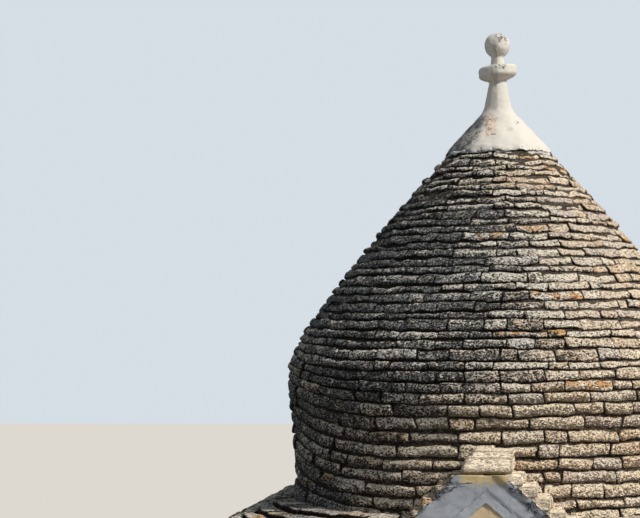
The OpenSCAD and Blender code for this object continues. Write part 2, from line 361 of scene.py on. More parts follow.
class Surface:
    """A surface that courses are laid on, round the house's axis."""

    def place(self, turn: Values, level: Values, out: Values) -> Points:
        """Puts points on the surface.

        Args:
            turn: turn round the house, from the front towards +X.
            level: place in the surface's second direction: a height, or a number of courses inwards.
            out: distance out from the surface.

        Returns:
            Places, shape (..., 3).
        """
        raise NotImplementedError


@dataclass
class RoundWall(Surface):
    """A wall with one radius at each height."""

    heights: Values
    radii: Values

    def radius(self, height: Values | float) -> Values:
        """The wall's radius at a height."""
        return np.interp(height, self.heights, self.radii)

    def place(self, turn: Values, height: Values, out: Values) -> Points:
        """Puts points on the wall, at heights on its face."""
        lean = (self.radius(height + STEP) - self.radius(height - STEP)) / (2 * STEP)
        tilt = 1.0 / np.sqrt(1.0 + lean**2)
        radius = self.radius(height) + out * tilt
        return around(turn, radius, height - out * lean * tilt)


def rounded_reach(bearing: Values, half: Values | float, corner: Values | float) -> Values:
    """Distance from a rounded square's centre to its outline.

    Args:
        bearing: directions from the centre.
        half: half the square's width.
        corner: radius of its corners.

    Returns:
        One distance per direction.
    """
    x, y = np.abs(np.sin(bearing)), np.abs(np.cos(bearing))
    centre = half - corner
    straight = half / np.maximum(x, y)
    along = centre * (x + y)
    curved = along + np.sqrt(np.maximum(along**2 - 2 * centre**2 + corner**2, 0.0))
    return np.where(straight * np.minimum(x, y) > centre, curved, straight)


@dataclass
class SkirtSlope(Surface):
    """The stepped top of the skirt roof, whose turns are spread evenly along its outer edge."""

    levels: Values
    halves: Values
    corners: Values
    bearings: Values = field(init=False)
    turns: Values = field(init=False)
    SAMPLES = 2881

    @classmethod
    def read(cls) -> SkirtSlope:
        """Reads each course's level, width and corner radius from the model.

        Returns:
            The slope.
        """
        points = node_points("skirt_back_right")
        heights = np.round(points[:, 2], 3)
        levels = np.unique(heights)[1:]
        halves, corners = [], []
        for level in levels:
            here = points[heights == level]
            half = float(here[:, 0].max())
            halves.append(half)
            corners.append(half - float(here[here[:, 0] > half - STEP][:, 1].max()))
        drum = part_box("drum_courses_lower")[1].x
        return cls(levels, np.array([*halves, drum]), np.array([*corners, drum]))

    def __post_init__(self) -> None:
        """Measures the outer edge."""
        self.bearings = np.linspace(0.0, TURN, self.SAMPLES)
        run = self.run_along(0.0)
        self.turns = run / run[-1] * TURN

    def run_along(self, step: float) -> Values:
        """Distance walked along a joint, up to each bearing."""
        reach = self.reach(self.bearings, step)
        x, y = reach * np.sin(self.bearings), -reach * np.cos(self.bearings)
        return np.append(0.0, np.cumsum(np.hypot(np.diff(x), np.diff(y))))

    def reach(self, bearing: Values, step: Values | float, inset: float = 0.0) -> Values:
        """Distance from the axis to a step, less an inset."""
        joints = np.arange(len(self.halves))
        half, corner = np.interp(step, joints, self.halves), np.interp(step, joints, self.corners)
        return rounded_reach(bearing, half - inset, corner - inset)

    def height(self, step: Values | float) -> Values:
        """Height of the slope through the middle of every course's top."""
        middles = np.arange(len(self.levels)) + 0.5
        rise = (self.levels[-1] - self.levels[0]) / (len(self.levels) - 1)
        levels = np.r_[self.levels[0] - rise / 2, self.levels, self.levels[-1] + rise / 2]
        return np.interp(step, np.r_[0.0, middles, len(self.levels)], levels)

    def bearing(self, turn: Values) -> Values:
        """Direction from the axis at a turn."""
        return np.interp(np.mod(turn, TURN), self.turns, self.bearings)

    def spot(self, turn: Values, step: Values | float) -> Points:
        """Place on the slope at a turn and a step, shape (..., 3)."""
        bearing = self.bearing(turn)
        return around(bearing, self.reach(bearing, step), self.height(step))

    def place(self, turn: Values, step: Values, out: Values) -> Points:
        """Puts points on the slope, at steps that count the courses in from the outer edge."""
        wide, long = 0.02, 0.5
        across = self.spot(turn + wide, step) - self.spot(turn - wide, step)
        along = self.spot(turn, step + long) - self.spot(turn, step - long)
        normal = np.cross(across, along)
        normal /= np.maximum(np.linalg.norm(normal, axis=-1, keepdims=True), STEP)
        return self.spot(turn, step) + normal * out[..., None]


@dataclass
class SkirtEdge(Surface):
    """The upright edge of the skirt roof, along its outline."""

    slope: SkirtSlope

    def place(self, turn: Values, height: Values, out: Values) -> Points:
        """Puts points on the edge, at heights on it, never in front of it."""
        bearing = self.slope.bearing(turn)
        reach = self.slope.reach(bearing, 0.0) + np.minimum(out, -STEP)
        return around(bearing, reach, height)


# Stones


@dataclass(frozen=True)
class StoneCut:
    """How the stones of one kind of course are cut and laid.

    The joint and the bed are the gaps beside and above a stone, ends is its end edges' radius as a share of
    its edge's, uneven is the most height that it loses, and belly is how far its face falls back at its bed.
    """

    length: float
    edge: float
    depth: float
    rough: float
    lip: float
    proud: float
    sink: float
    spread: float = 0.3
    joint: float = 0.010
    bed: float = 0.006
    ends: float = 0.55
    uneven: float = 0.22
    cells: tuple[int, int] = (10, 4)
    belly: float = 0.0


@dataclass
class StoneFaces:
    """The faces of one course's stones, each about its own centre.

    Places, distances out and openness to the air have the shape (stones, rows, columns), and the stones'
    lengths and heights have the shape (stones, 1, 1).
    """

    x: Values
    y: Values
    out: Values
    air: Values
    length: Values
    height: Values
    SLANT = 0.25
    WEDGE = (-0.10, 0.06)
    SHOULDER = 0.35
    TILT = 0.03
    NOD = 0.05
    FLATNESS = 0.6
    BACK = (0.96, 0.92)

    @classmethod
    def rounded(
        cls, length: Values, height: Values, end: Values, edge: Values, cells: tuple[int, int]
    ) -> StoneFaces:
        """Cuts faces with rounded edges and corners.

        Args:
            length: the stones' lengths.
            height: their heights.
            end: radius of their end edges.
            edge: radius of their long edges.
            cells: flat cells across and up each face.

        Returns:
            The faces.
        """
        across, upward = edge_spaced(length, end, cells[0]), edge_spaced(height, edge, cells[1])
        shape = (len(length), upward.shape[1], across.shape[1])
        x, y = np.broadcast_to(across[:, None, :], shape), np.broadcast_to(upward[:, :, None], shape)
        length, height, end, edge = (size[:, None, None] for size in (length, height, end, edge))
        half_x, half_y = length / 2 - end, height / 2 - edge
        over_x = np.maximum(np.abs(x) - half_x, 0) / end
        over_y = np.maximum(np.abs(y) - half_y, 0) / edge
        squeeze = np.maximum(over_x, over_y) / np.maximum(np.hypot(over_x, over_y), TINY)
        corner = (over_x > 0) & (over_y > 0)
        over_x = np.where(corner, over_x * squeeze, over_x)
        over_y = np.where(corner, over_y * squeeze, over_y)
        x = np.where(corner, np.sign(x) * (half_x + over_x * end), x)
        y = np.where(corner, np.sign(y) * (half_y + over_y * edge), y)
        bend = np.minimum(over_x**2 + over_y**2, 1.0)
        out = np.where(over_y > over_x, edge, end) * (np.sqrt(1.0 - bend) - 1.0)
        return cls(x, y, out, 1.0 - bend, length, height)

    def make_uneven(self, random: Random, cut: StoneCut, reach: float) -> None:
        """Slants, wedges and tilts each face its own way, and makes it flatter than the round wall.

        Args:
            random: gives each stone its own values.
            cut: how the stones are cut.
            reach: the wall's radius.
        """

        def each(low: float, high: float) -> Values:
            """One random value per stone, shaped for the grid."""
            return random.uniform(low, high, len(self.x))[:, None, None]

        along, aloft = self.x / self.length, self.y / self.height
        self.x = self.x + each(-self.SLANT, self.SLANT) * self.y
        taper = 1.0 + each(*self.WEDGE) * along - self.SHOULDER * np.abs(each(0, 1)) * np.abs(along) ** 3
        self.y = self.y * taper + each(-self.TILT, self.TILT) * self.x
        out = self.out - cut.sink
        out = out + each(-cut.proud, cut.proud) + each(-self.TILT, self.TILT) * self.x
        out = out + cut.lip * (0.5 - aloft) + each(-self.NOD, self.NOD) * self.y
        out = out - cut.belly * (2 * aloft) ** 2
        self.out = out - self.FLATNESS * ((self.length / 2) ** 2 - self.x**2) / (2 * reach)

    def with_backs(self, depth: float) -> tuple[Values, ...]:
        """Adds the smaller back of each stone, as a ring behind its rim.

        Args:
            depth: how far behind the wall's face the backs lie.

        Returns:
            Places along and up, distances out and openness, each of shape (stones, points).
        """
        number, rows, columns = self.x.shape
        rim = rim_numbers(rows, columns)
        x, y, out, air = (part.reshape(number, -1) for part in (self.x, self.y, self.out, self.air))
        ring = np.ones((number, len(rim)))
        backs = (x[:, rim] * self.BACK[0], y[:, rim] * self.BACK[1], -depth * ring, 0 * ring)
        return tuple(np.concatenate(pair, axis=1) for pair in zip((x, y, out, air), backs))


@dataclass
class CourseLayer:
    """Lays stones in courses on a surface, into one mesh."""

    surface: Surface
    cut: StoneCut
    seed: int
    wander: JointWander
    wash: Rule = no_wash
    keep: Rule | None = None
    trim: Rule | None = None
    sheet: MeshSheet = field(default_factory=MeshSheet)

    def lay(self, low: float, high: float, reach: float, rise: float | None = None) -> int:
        """Lays one course right round the house, or the stones of it that are kept.

        Args:
            low: the course's lower joint, in the surface's own second direction.
            high: the course's upper joint.
            reach: the course's radius, which turns lengths into angles.
            rise: real height of the course, where high - low isn't one.

        Returns:
            How many stones were laid.
        """
        rise = rise or high - low
        random = np.random.default_rng(self.seed * 1000 + int(low * 977))
        centres, spans = self.share_out(random, reach)
        number = len(spans)
        if not number:
            return 0
        faces = self.cut_faces(random, spans * reach, rise, reach)
        x, y, out, air = faces.with_backs(self.cut.depth)
        turn = centres[:, None] + x / reach
        bottom, top = low + self.wander(turn, low), high + self.wander(turn, high)
        level = (bottom + top) / 2 + y / rise * (top - bottom)
        points = self.gnarled(turn, level, out, reach, (high - low) / rise)
        tone, warm = (np.broadcast_to(random.uniform(0, 1, number)[:, None], air.shape) for _ in range(2))
        marks = np.stack([tone, warm, air, self.wash(points)], axis=-1)
        self.sheet.add(points, stone_numbers(*faces.x.shape), marks)
        return number

    def share_out(self, random: Random, reach: float) -> tuple[Values, Values]:
        """Shares a course's way round out among its stones.

        Args:
            random: varies the stones' lengths.
            reach: the course's radius.

        Returns:
            The angles of the stones' centres, and those that they span.
        """
        count = max(8, round(TURN * reach / self.cut.length))
        shifts = random.uniform(-self.cut.spread, self.cut.spread, count)
        starts = (np.arange(count) + shifts) * TURN / count
        starts = np.sort(starts + random.uniform(0, TURN / count))
        spans = np.diff(np.append(starts, starts[0] + TURN))
        centres = starts + spans / 2
        kept = slice(None) if self.keep is None else self.keep(centres)
        return centres[kept], spans[kept]

    def cut_faces(self, random: Random, room: Values, rise: float, reach: float) -> StoneFaces:
        """Cuts a course's stones to the room that each has.

        Args:
            random: varies the stones' sizes and shapes.
            room: each stone's length with its joint.
            rise: the course's height.
            reach: the course's radius.

        Returns:
            The stones' faces.
        """
        cut, number = self.cut, len(room)
        length = room - cut.joint * random.uniform(0.5, 1.6, number)
        height = rise - cut.bed * random.uniform(0.6, 1.5, number)
        height = height * (1.0 - cut.uneven * random.uniform(0.0, 1.0, number) ** 2)
        edge = np.minimum(cut.edge * random.uniform(0.7, 1.25, number), 0.42 * np.minimum(length, height))
        faces = StoneFaces.rounded(length, height, edge * cut.ends, edge, cut.cells)
        faces.make_uneven(random, cut, reach)
        return faces

    def gnarled(self, turn: Values, level: Values, out: Values, reach: float, scale: float) -> Points:
        """Puts points on the surface and pushes them about by the stone's lumps and chips.

        Args:
            turn: angles round the house.
            level: places in the surface's second direction.
            out: distances out from the surface.
            reach: the course's radius.
            scale: what one metre up the course is in the surface's second direction.

        Returns:
            Places, shape (..., 3).
        """
        rough = self.cut.rough
        smooth = self.surface.place(turn, level, out)
        shape = roughness(smooth, 0.065, self.seed) * rough
        chips = np.maximum(lumps(smooth, 0.03, self.seed + 7) - 0.25, 0) * rough * 1.2
        shift = lumps(smooth, 0.06, self.seed + 11) * rough * 0.8
        lift = lumps(smooth, 0.06, self.seed + 13) * rough * 0.6
        points = self.surface.place(turn + shift / reach, level + lift * scale, out + shape - chips)
        return points if self.trim is None else self.trim(points)


@dataclass(frozen=True)
class Block:
    """A free stone: a box with rounded edges and a rough face."""

    low: tuple[float, float, float]
    high: tuple[float, float, float]
    edge: float = 0.02
    rough: float = 0.004
    cell: float = 0.03

    def add_to(self, sheet: MeshSheet, seed: int, tone: float = 0.5, warm: float = 0.5) -> None:
        """Adds the block's mesh to a sheet.

        Args:
            sheet: takes the points and faces.
            seed: picks the roughness.
            tone: the stone's tone, 0 to 1.
            warm: the stone's warmth, 0 to 1.
        """
        low, high = np.array(self.low), np.array(self.high)
        half, middle = (high - low) / 2, (high + low) / 2
        edge = min(self.edge, 0.45 * 2 * float(half.min()))
        flat, faces = self.box_grid(half, edge)
        core = np.clip(flat, -(half - edge), half - edge)
        away = flat - core
        distance = np.linalg.norm(away, axis=1, keepdims=True)
        normal = away / np.maximum(distance, TINY)
        placed = middle + core + normal * edge
        shape = roughness(placed, 0.09, seed) * self.rough
        chips = np.maximum(lumps(placed, 0.03, seed + 7) - 0.3, 0) * self.rough
        placed = placed + normal * (shape - chips)[:, None]
        bend = np.count_nonzero(np.abs(flat) > half - edge + 1e-6, axis=1)
        # Painted shade: the corners are marked less open, so they darken.
        air = np.where(bend >= 2, 0.35, 1.0)
        own = np.tile([tone, warm], (len(placed), 1))
        sheet.add(placed, [faces], np.column_stack([own, air, 0 * air]))

    def box_grid(self, half: Values, edge: float) -> tuple[Points, Values]:
        """Lays a grid over a box round the origin, close together at its edges.

        Args:
            half: half the box's sizes.
            edge: radius of its edges.

        Returns:
            The grid's points, and the point numbers of its faces.
        """
        lines = []
        for axis in range(3):
            cells = max(1, round((2 * half[axis] - 2 * edge) / self.cell))
            lines.append(edge_spaced(np.array([2 * half[axis]]), np.array([edge]), cells)[0])
        index: dict[tuple[int, int, int], int] = {}
        points: list[tuple[float, float, float]] = []
        faces: list[tuple[int, int, int, int]] = []

        def number(key: tuple[int, int, int]) -> int:
            """Number of the point at a place on the box's grid."""
            if key not in index:
                index[key] = len(points)
                points.append(tuple(lines[axis][key[axis]] for axis in range(3)))
            return index[key]

        for axis in range(3):
            first, second = (axis + 1) % 3, (axis + 2) % 3
            for end in (0, len(lines[axis]) - 1):
                for i, j in np.ndindex(len(lines[first]) - 1, len(lines[second]) - 1):
                    keys = []
                    for di, dj in ((0, 0), (1, 0), (1, 1), (0, 1)):
                        key = [0, 0, 0]
                        key[axis], key[first], key[second] = end, i + di, j + dj
                        keys.append(number(tuple(key)))
                    faces.append(tuple(keys if end else keys[::-1]))
        return np.array(points), np.array(faces)


def add_ring(sheet: MeshSheet, outline: Points, turns: int = 180) -> None:
    """Adds a closed ring turned round the house's axis, dark to paint the shade inside the joints.

    Args:
        sheet: takes the points and faces.
        outline: radius and height of the ring's corners, shape (n, 2).
        turns: points round the axis.
    """
    turn = np.arange(turns) * TURN / turns
    quads = grid_faces(len(outline) + 1, turns, wrap=True) % (len(outline) * turns)
    sheet.add(around(turn, outline[:, :1], outline[:, 1:]), [quads], DARK_MARKS)


# Shader nodes

Colour = tuple[float, float, float]


def paint(red: int, green: int, blue: int) -> Colour:
    """Turns an everyday colour, 0 to 255 each, into the shader's own values."""
    parts = [channel / 255 for channel in (red, green, blue)]
    return tuple(part / 12.92 if part <= 0.04045 else ((part + 0.055) / 1.055) ** 2.4 for part in parts)


@dataclass
class NodeBench:
    """Places and joins nodes in one node tree."""

    tree: Tree

    def feed(self, socket: Socket, value: object) -> None:
        """Links a socket to another, or sets its value.

        Args:
            socket: the input.
            value: a socket, a colour or a number.
        """
        if isinstance(value, Socket):
            self.tree.links.new(value, socket)
        elif isinstance(value, tuple) and len(value) == 3 and socket.type == "RGBA":
            socket.default_value = (*value, 1.0)
        else:
            socket.default_value = value

    def add(self, kind: str, inputs: dict[str | int, object], **settings: object) -> Node:
        """Adds a node.

        Args:
            kind: the node's type name in Blender.
            inputs: what each named or numbered input gets.
            settings: the node's own properties.

        Returns:
            The new node.
        """
        node = self.tree.nodes.new(kind)
        for name, value in settings.items():
            setattr(node, name, value)
        for name, value in inputs.items():
            self.feed(node.inputs[name], value)
        return node

    def math(self, operation: str, first: object, second: object = 0.0, clamp: bool = False) -> Socket:
        """Adds an operation on one or two values."""
        node = self.add("ShaderNodeMath", {0: first, 1: second}, operation=operation, use_clamp=clamp)
        return node.outputs[0]

    def plus(self, first: object, second: object) -> Socket:
        """Adds the two values' total."""
        return self.math("ADD", first, second)

    def minus(self, first: object, second: object) -> Socket:
        """Adds the first value less the second."""
        return self.math("SUBTRACT", first, second)

    def times(self, first: object, second: object, clamp: bool = False) -> Socket:
        """Adds the two values' product."""
        return self.math("MULTIPLY", first, second, clamp)

    def line(self, value: object, slope: float, start: float) -> Socket:
        """Adds a value times a slope, plus a start."""
        node = self.add("ShaderNodeMath", {0: value, 1: slope, 2: start}, operation="MULTIPLY_ADD")
        return node.outputs[0]

    def weighed(self, first: tuple[object, float], *others: tuple[object, float]) -> Socket:
        """Adds the total of values that are each times their own weight.

        Args:
            first: a value and its weight.
            others: more of them.

        Returns:
            Socket with the total.
        """
        total = self.times(*first)
        for other in others:
            total = self.plus(total, self.times(*other))
        return total

    def stretched(self, place: object, scale: tuple[float, float, float]) -> Socket:
        """Adds a place scaled along each axis."""
        node = self.add("ShaderNodeMapping", {"Vector": place, "Scale": scale}, vector_type="POINT")
        return node.outputs[0]

    def noise(
        self, place: object, size: object, detail: float = 4.0, rough: float = 0.55, warp: float = 0.0
    ) -> Socket:
        """Adds cloudy noise whose largest clouds have about the size given.

        Args:
            place: socket with a place in metres.
            size: cloud size in metres.
            detail: how many finer layers it has.
            rough: strength of each finer layer.
            warp: how far the clouds are drawn out of shape.

        Returns:
            Socket with a value of about 0.2 to 0.8.
        """
        scale = 1.0 / size if isinstance(size, float) else self.math("DIVIDE", 1.0, size)
        inputs = {"Vector": place, "Scale": scale, "Detail": detail, "Roughness": rough, "Distortion": warp}
        return self.add("ShaderNodeTexNoise", inputs, normalize=True).outputs["Fac"]

    def between(
        self, value: object, low: object, high: object, start: float = 0.0, end: float = 1.0
    ) -> Socket:
        """Adds a soft step from start to end, where a value goes from low to high."""
        inputs = {"Value": value, "From Min": low, "From Max": high, "To Min": start, "To Max": end}
        return self.add("ShaderNodeMapRange", inputs, interpolation_type="SMOOTHSTEP").outputs[0]

    def blend(self, share: object, first: object, second: object, how: str = "MIX") -> Socket:
        """Adds a mix of two colours."""
        inputs, settings = {0: share, 6: first, 7: second}, {"data_type": "RGBA", "blend_type": how}
        return self.add("ShaderNodeMix", inputs, clamp_factor=True, **settings).outputs[2]

    def coat(self, colour: object, over: object, mask: object, most: float) -> Socket:
        """Adds a coat over a colour where the mask is, at most as opaque as said."""
        return self.blend(self.times(mask, most), colour, over)

    def ragged(self, mark: object, noise: object, much: float, low: float, high: float) -> Socket:
        """Adds a mask with a ragged edge, where a mark pushed about by noise goes from low to high."""
        return self.between(self.plus(mark, self.times(self.minus(noise, 0.5), much)), low, high)

    def group(self, tree: Tree, inputs: dict[str, object]) -> Node:
        """Adds a group of nodes."""
        return self.add("ShaderNodeGroup", inputs, node_tree=tree)

    def read_marks(self) -> tuple[Socket, Socket, Socket, Socket]:
        """Adds the mesh's four marks."""
        marks = self.add("ShaderNodeAttribute", {}, attribute_name=MARKS, attribute_type="GEOMETRY")
        channels = self.add("ShaderNodeSeparateColor", {"Color": marks.outputs["Color"]}).outputs
        return channels[0], channels[1], channels[2], marks.outputs["Alpha"]

    def emboss(self, shader: Node, relief: object, depth: float) -> None:
        """Gives a shader a relief of a depth in metres."""
        bump = self.add("ShaderNodeBump", {"Strength": 1.0, "Distance": depth, "Height": relief})
        self.feed(shader.inputs["Normal"], bump.outputs[0])


def new_group(name: str, takes: dict[str, float | None]) -> tuple[NodeBench, list[Socket]]:
    """Starts a node group.

    Args:
        name: the group's name.
        takes: inputs and their usual values, or None for a vector.

    Returns:
        A bench on the group's tree, and the sockets that hold its inputs.
    """
    tree = bpy.data.node_groups.new(name, "ShaderNodeTree")
    for title, usual in takes.items():
        kind = "NodeSocketVector" if usual is None else "NodeSocketFloat"
        socket = tree.interface.new_socket(title, in_out="INPUT", socket_type=kind)
        if usual is not None:
            socket.default_value = usual
    given = tree.nodes.new("NodeGroupInput")
    return NodeBench(tree), [given.outputs[title] for title in takes]


def close_group(bench: NodeBench, gives: dict[str, Socket]) -> Tree:
    """Gives a group its named outputs, which are values, and returns its tree.

    Args:
        bench: the bench on the group's tree.
        gives: the sockets that feed the outputs.

    Returns:
        The group's tree.
    """
    for title in gives:
        bench.tree.interface.new_socket(title, in_out="OUTPUT", socket_type="NodeSocketFloat")
    bench.add("NodeGroupOutput", gives)
    return bench.tree


def make_stone_grain() -> Tree:
    """Builds the group for limestone's gnarled face, whose pits crowd as painted shade where it faces down.

    Returns:
        The group's tree.
    """
    bench, (place, size, under) = new_group("stone_grain", {"Place": None, "Size": 0.03, "Under": 0.0})
    drawn = bench.stretched(place, (1.0, 1.0, 1.4))
    cloud = bench.noise(place, bench.times(size, 5.0), detail=3.0, warp=0.4)
    gnarl = bench.noise(drawn, bench.times(size, 1.3), detail=4.0, rough=0.6, warp=0.6)
    grain = bench.noise(place, bench.times(size, 0.55), detail=2.0, rough=0.5, warp=0.6)
    worn = bench.weighed((grain, 0.7), (gnarl, 0.3))
    # Painted shade: the pits crowd where the face looks down.
    limit = bench.line(under, 0.13, 0.462)
    pits = bench.between(worn, limit, bench.minus(limit, 0.06))
    # Painted highlight: pale tips where the relief stands high.
    tips = bench.between(worn, 0.53, 0.62)
    height = bench.weighed((gnarl, 1.2), (grain, 0.7), (pits, -0.30))
    gives = {"Cloud": cloud, "Grain": grain, "Lumps": worn, "Pits": pits, "Tips": tips, "Height": height}
    return close_group(bench, gives)


def make_lichen() -> Tree:
    """Builds the group for what grows on stone: black crust in its hollows, grey, pale bloom and ochre.

    The black where the relief is low is partly painted shade. The grey where it stands high is painted
    highlight.

    Returns:
        The group's tree.
    """
    takes = {"Place": None, "Lumps": 0.5, "Size": 0.02, "Spread": 0.5}
    bench, (place, gnarl, size, spread) = new_group("lichen", takes)
    broad = bench.noise(place, bench.times(size, 2.6), detail=5.0, rough=0.7, warp=1.0)
    crust = bench.weighed((gnarl, 0.6), (broad, 0.4))
    limit = bench.line(spread, 0.34, 0.33)
    # Partly painted shade: black where the relief is low.
    black = bench.between(crust, bench.plus(limit, 0.02), bench.minus(limit, 0.08))
    fine = bench.noise(place, size, detail=3.0, rough=0.65, warp=0.6)
    # Painted highlight: grey where the relief stands high inside the crust.
    grey = bench.between(bench.weighed((gnarl, 0.6), (fine, 0.4)), 0.49, 0.56)
    bloom = bench.noise(place, bench.times(size, 2.4), detail=4.0, rough=0.65, warp=0.8)
    rust = bench.noise(place, 0.12, detail=3.0, rough=0.6, warp=0.5)
    pale, ochre = bench.between(bloom, 0.52, 0.66), bench.between(rust, 0.47, 0.58)
    return close_group(bench, {"Black": black, "Grey": grey, "Pale": pale, "Ochre": ochre})


def make_weather_and_shade() -> Tree:
    """Builds the group for the darkening away from the sun: 0 on the sunny side, about 1 on the other side.

    The darkening is partly lichen and partly painted shade. It reaches further round the roof than the drum,
    is thickest above the brow and thins towards the top.

    Returns:
        The group's tree.
    """
    bench, (place,) = new_group("weather", {"Place": None})
    east, south, up = bench.add("ShaderNodeSeparateXYZ", {0: place}).outputs
    squares = bench.plus(bench.times(east, east), bench.times(south, south))
    reach = bench.math("MAXIMUM", bench.math("SQRT", squares), 0.01)
    facing = bench.weighed((east, SUNNY_SIDE[0]), (south, SUNNY_SIDE[1]))
    half = bench.line(bench.math("DIVIDE", facing, reach), -0.5, 0.5)
    shade = bench.math("SQRT", bench.math("MAXIMUM", half, 0.0))
    shade = bench.between(shade, bench.between(up, *EAVE, 0.56, 0.13), bench.between(up, *EAVE, 0.97, 0.76))
    crust = bench.minus(bench.between(up, *BROW, 1.0, 1.2), bench.between(up, *CROWN, 0.0, 0.34))
    return close_group(bench, {"Shade": bench.times(shade, crust)})


def make_limewash() -> Tree:
    """Builds the group for brushed limewash: worn patches, rain streaks, brush marks and a height.

    Returns:
        The group's tree.
    """
    bench, (place, wear) = new_group("limewash", {"Place": None, "Wear": 0.3})
    broad = bench.noise(place, 0.35, detail=5.0, rough=0.62, warp=0.6)
    flakes = bench.noise(place, 0.035, detail=4.0, rough=0.65, warp=0.8)
    edge = bench.weighed((broad, 0.7), (flakes, 0.3))
    limit = bench.line(wear, 0.30, 0.30)
    worn = bench.between(edge, limit, bench.minus(limit, 0.03))
    drawn = bench.stretched(place, (14.0, 14.0, 1.6))
    streak = bench.between(bench.noise(drawn, 1.0, detail=4.0, rough=0.6), 0.52, 0.78)
    brush = bench.noise(place, 0.018, detail=3.0, rough=0.6, warp=0.6)
    height = bench.weighed((broad, 0.6), (brush, 0.35), (worn, -0.25))
    return close_group(bench, {"Worn": worn, "Streak": streak, "Cloud": broad, "Height": height})


# Finishes


@dataclass(frozen=True)
class Effects:
    """The node groups that the finishes share."""

    grain: Tree
    lichen: Tree
    weather: Tree
    limewash: Tree

    @classmethod
    def make(cls) -> Effects:
        """Builds the groups."""
        return cls(make_stone_grain(), make_lichen(), make_weather_and_shade(), make_limewash())


def new_material(name: str, roughness_value: float) -> tuple[Material, NodeBench, Node]:
    """Starts a material with a plain Principled BSDF.

    Args:
        name: the material's name.
        roughness_value: how dull it is, 0 to 1.

    Returns:
        The material, a bench on its tree, and its shader node.
    """
    material = bpy.data.materials.new(name)
    material.use_nodes = True
    bench = NodeBench(material.node_tree)
    shader = material.node_tree.nodes["Principled BSDF"]
    shader.inputs["Roughness"].default_value = roughness_value
    shader.inputs["Specular IOR Level"].default_value = 0.25
    return material, bench, shader


def dress(material: Material, *pieces: Piece) -> None:
    """Gives pieces one material."""
    for piece in pieces:
        piece.data.materials.clear()
        piece.data.materials.append(material)


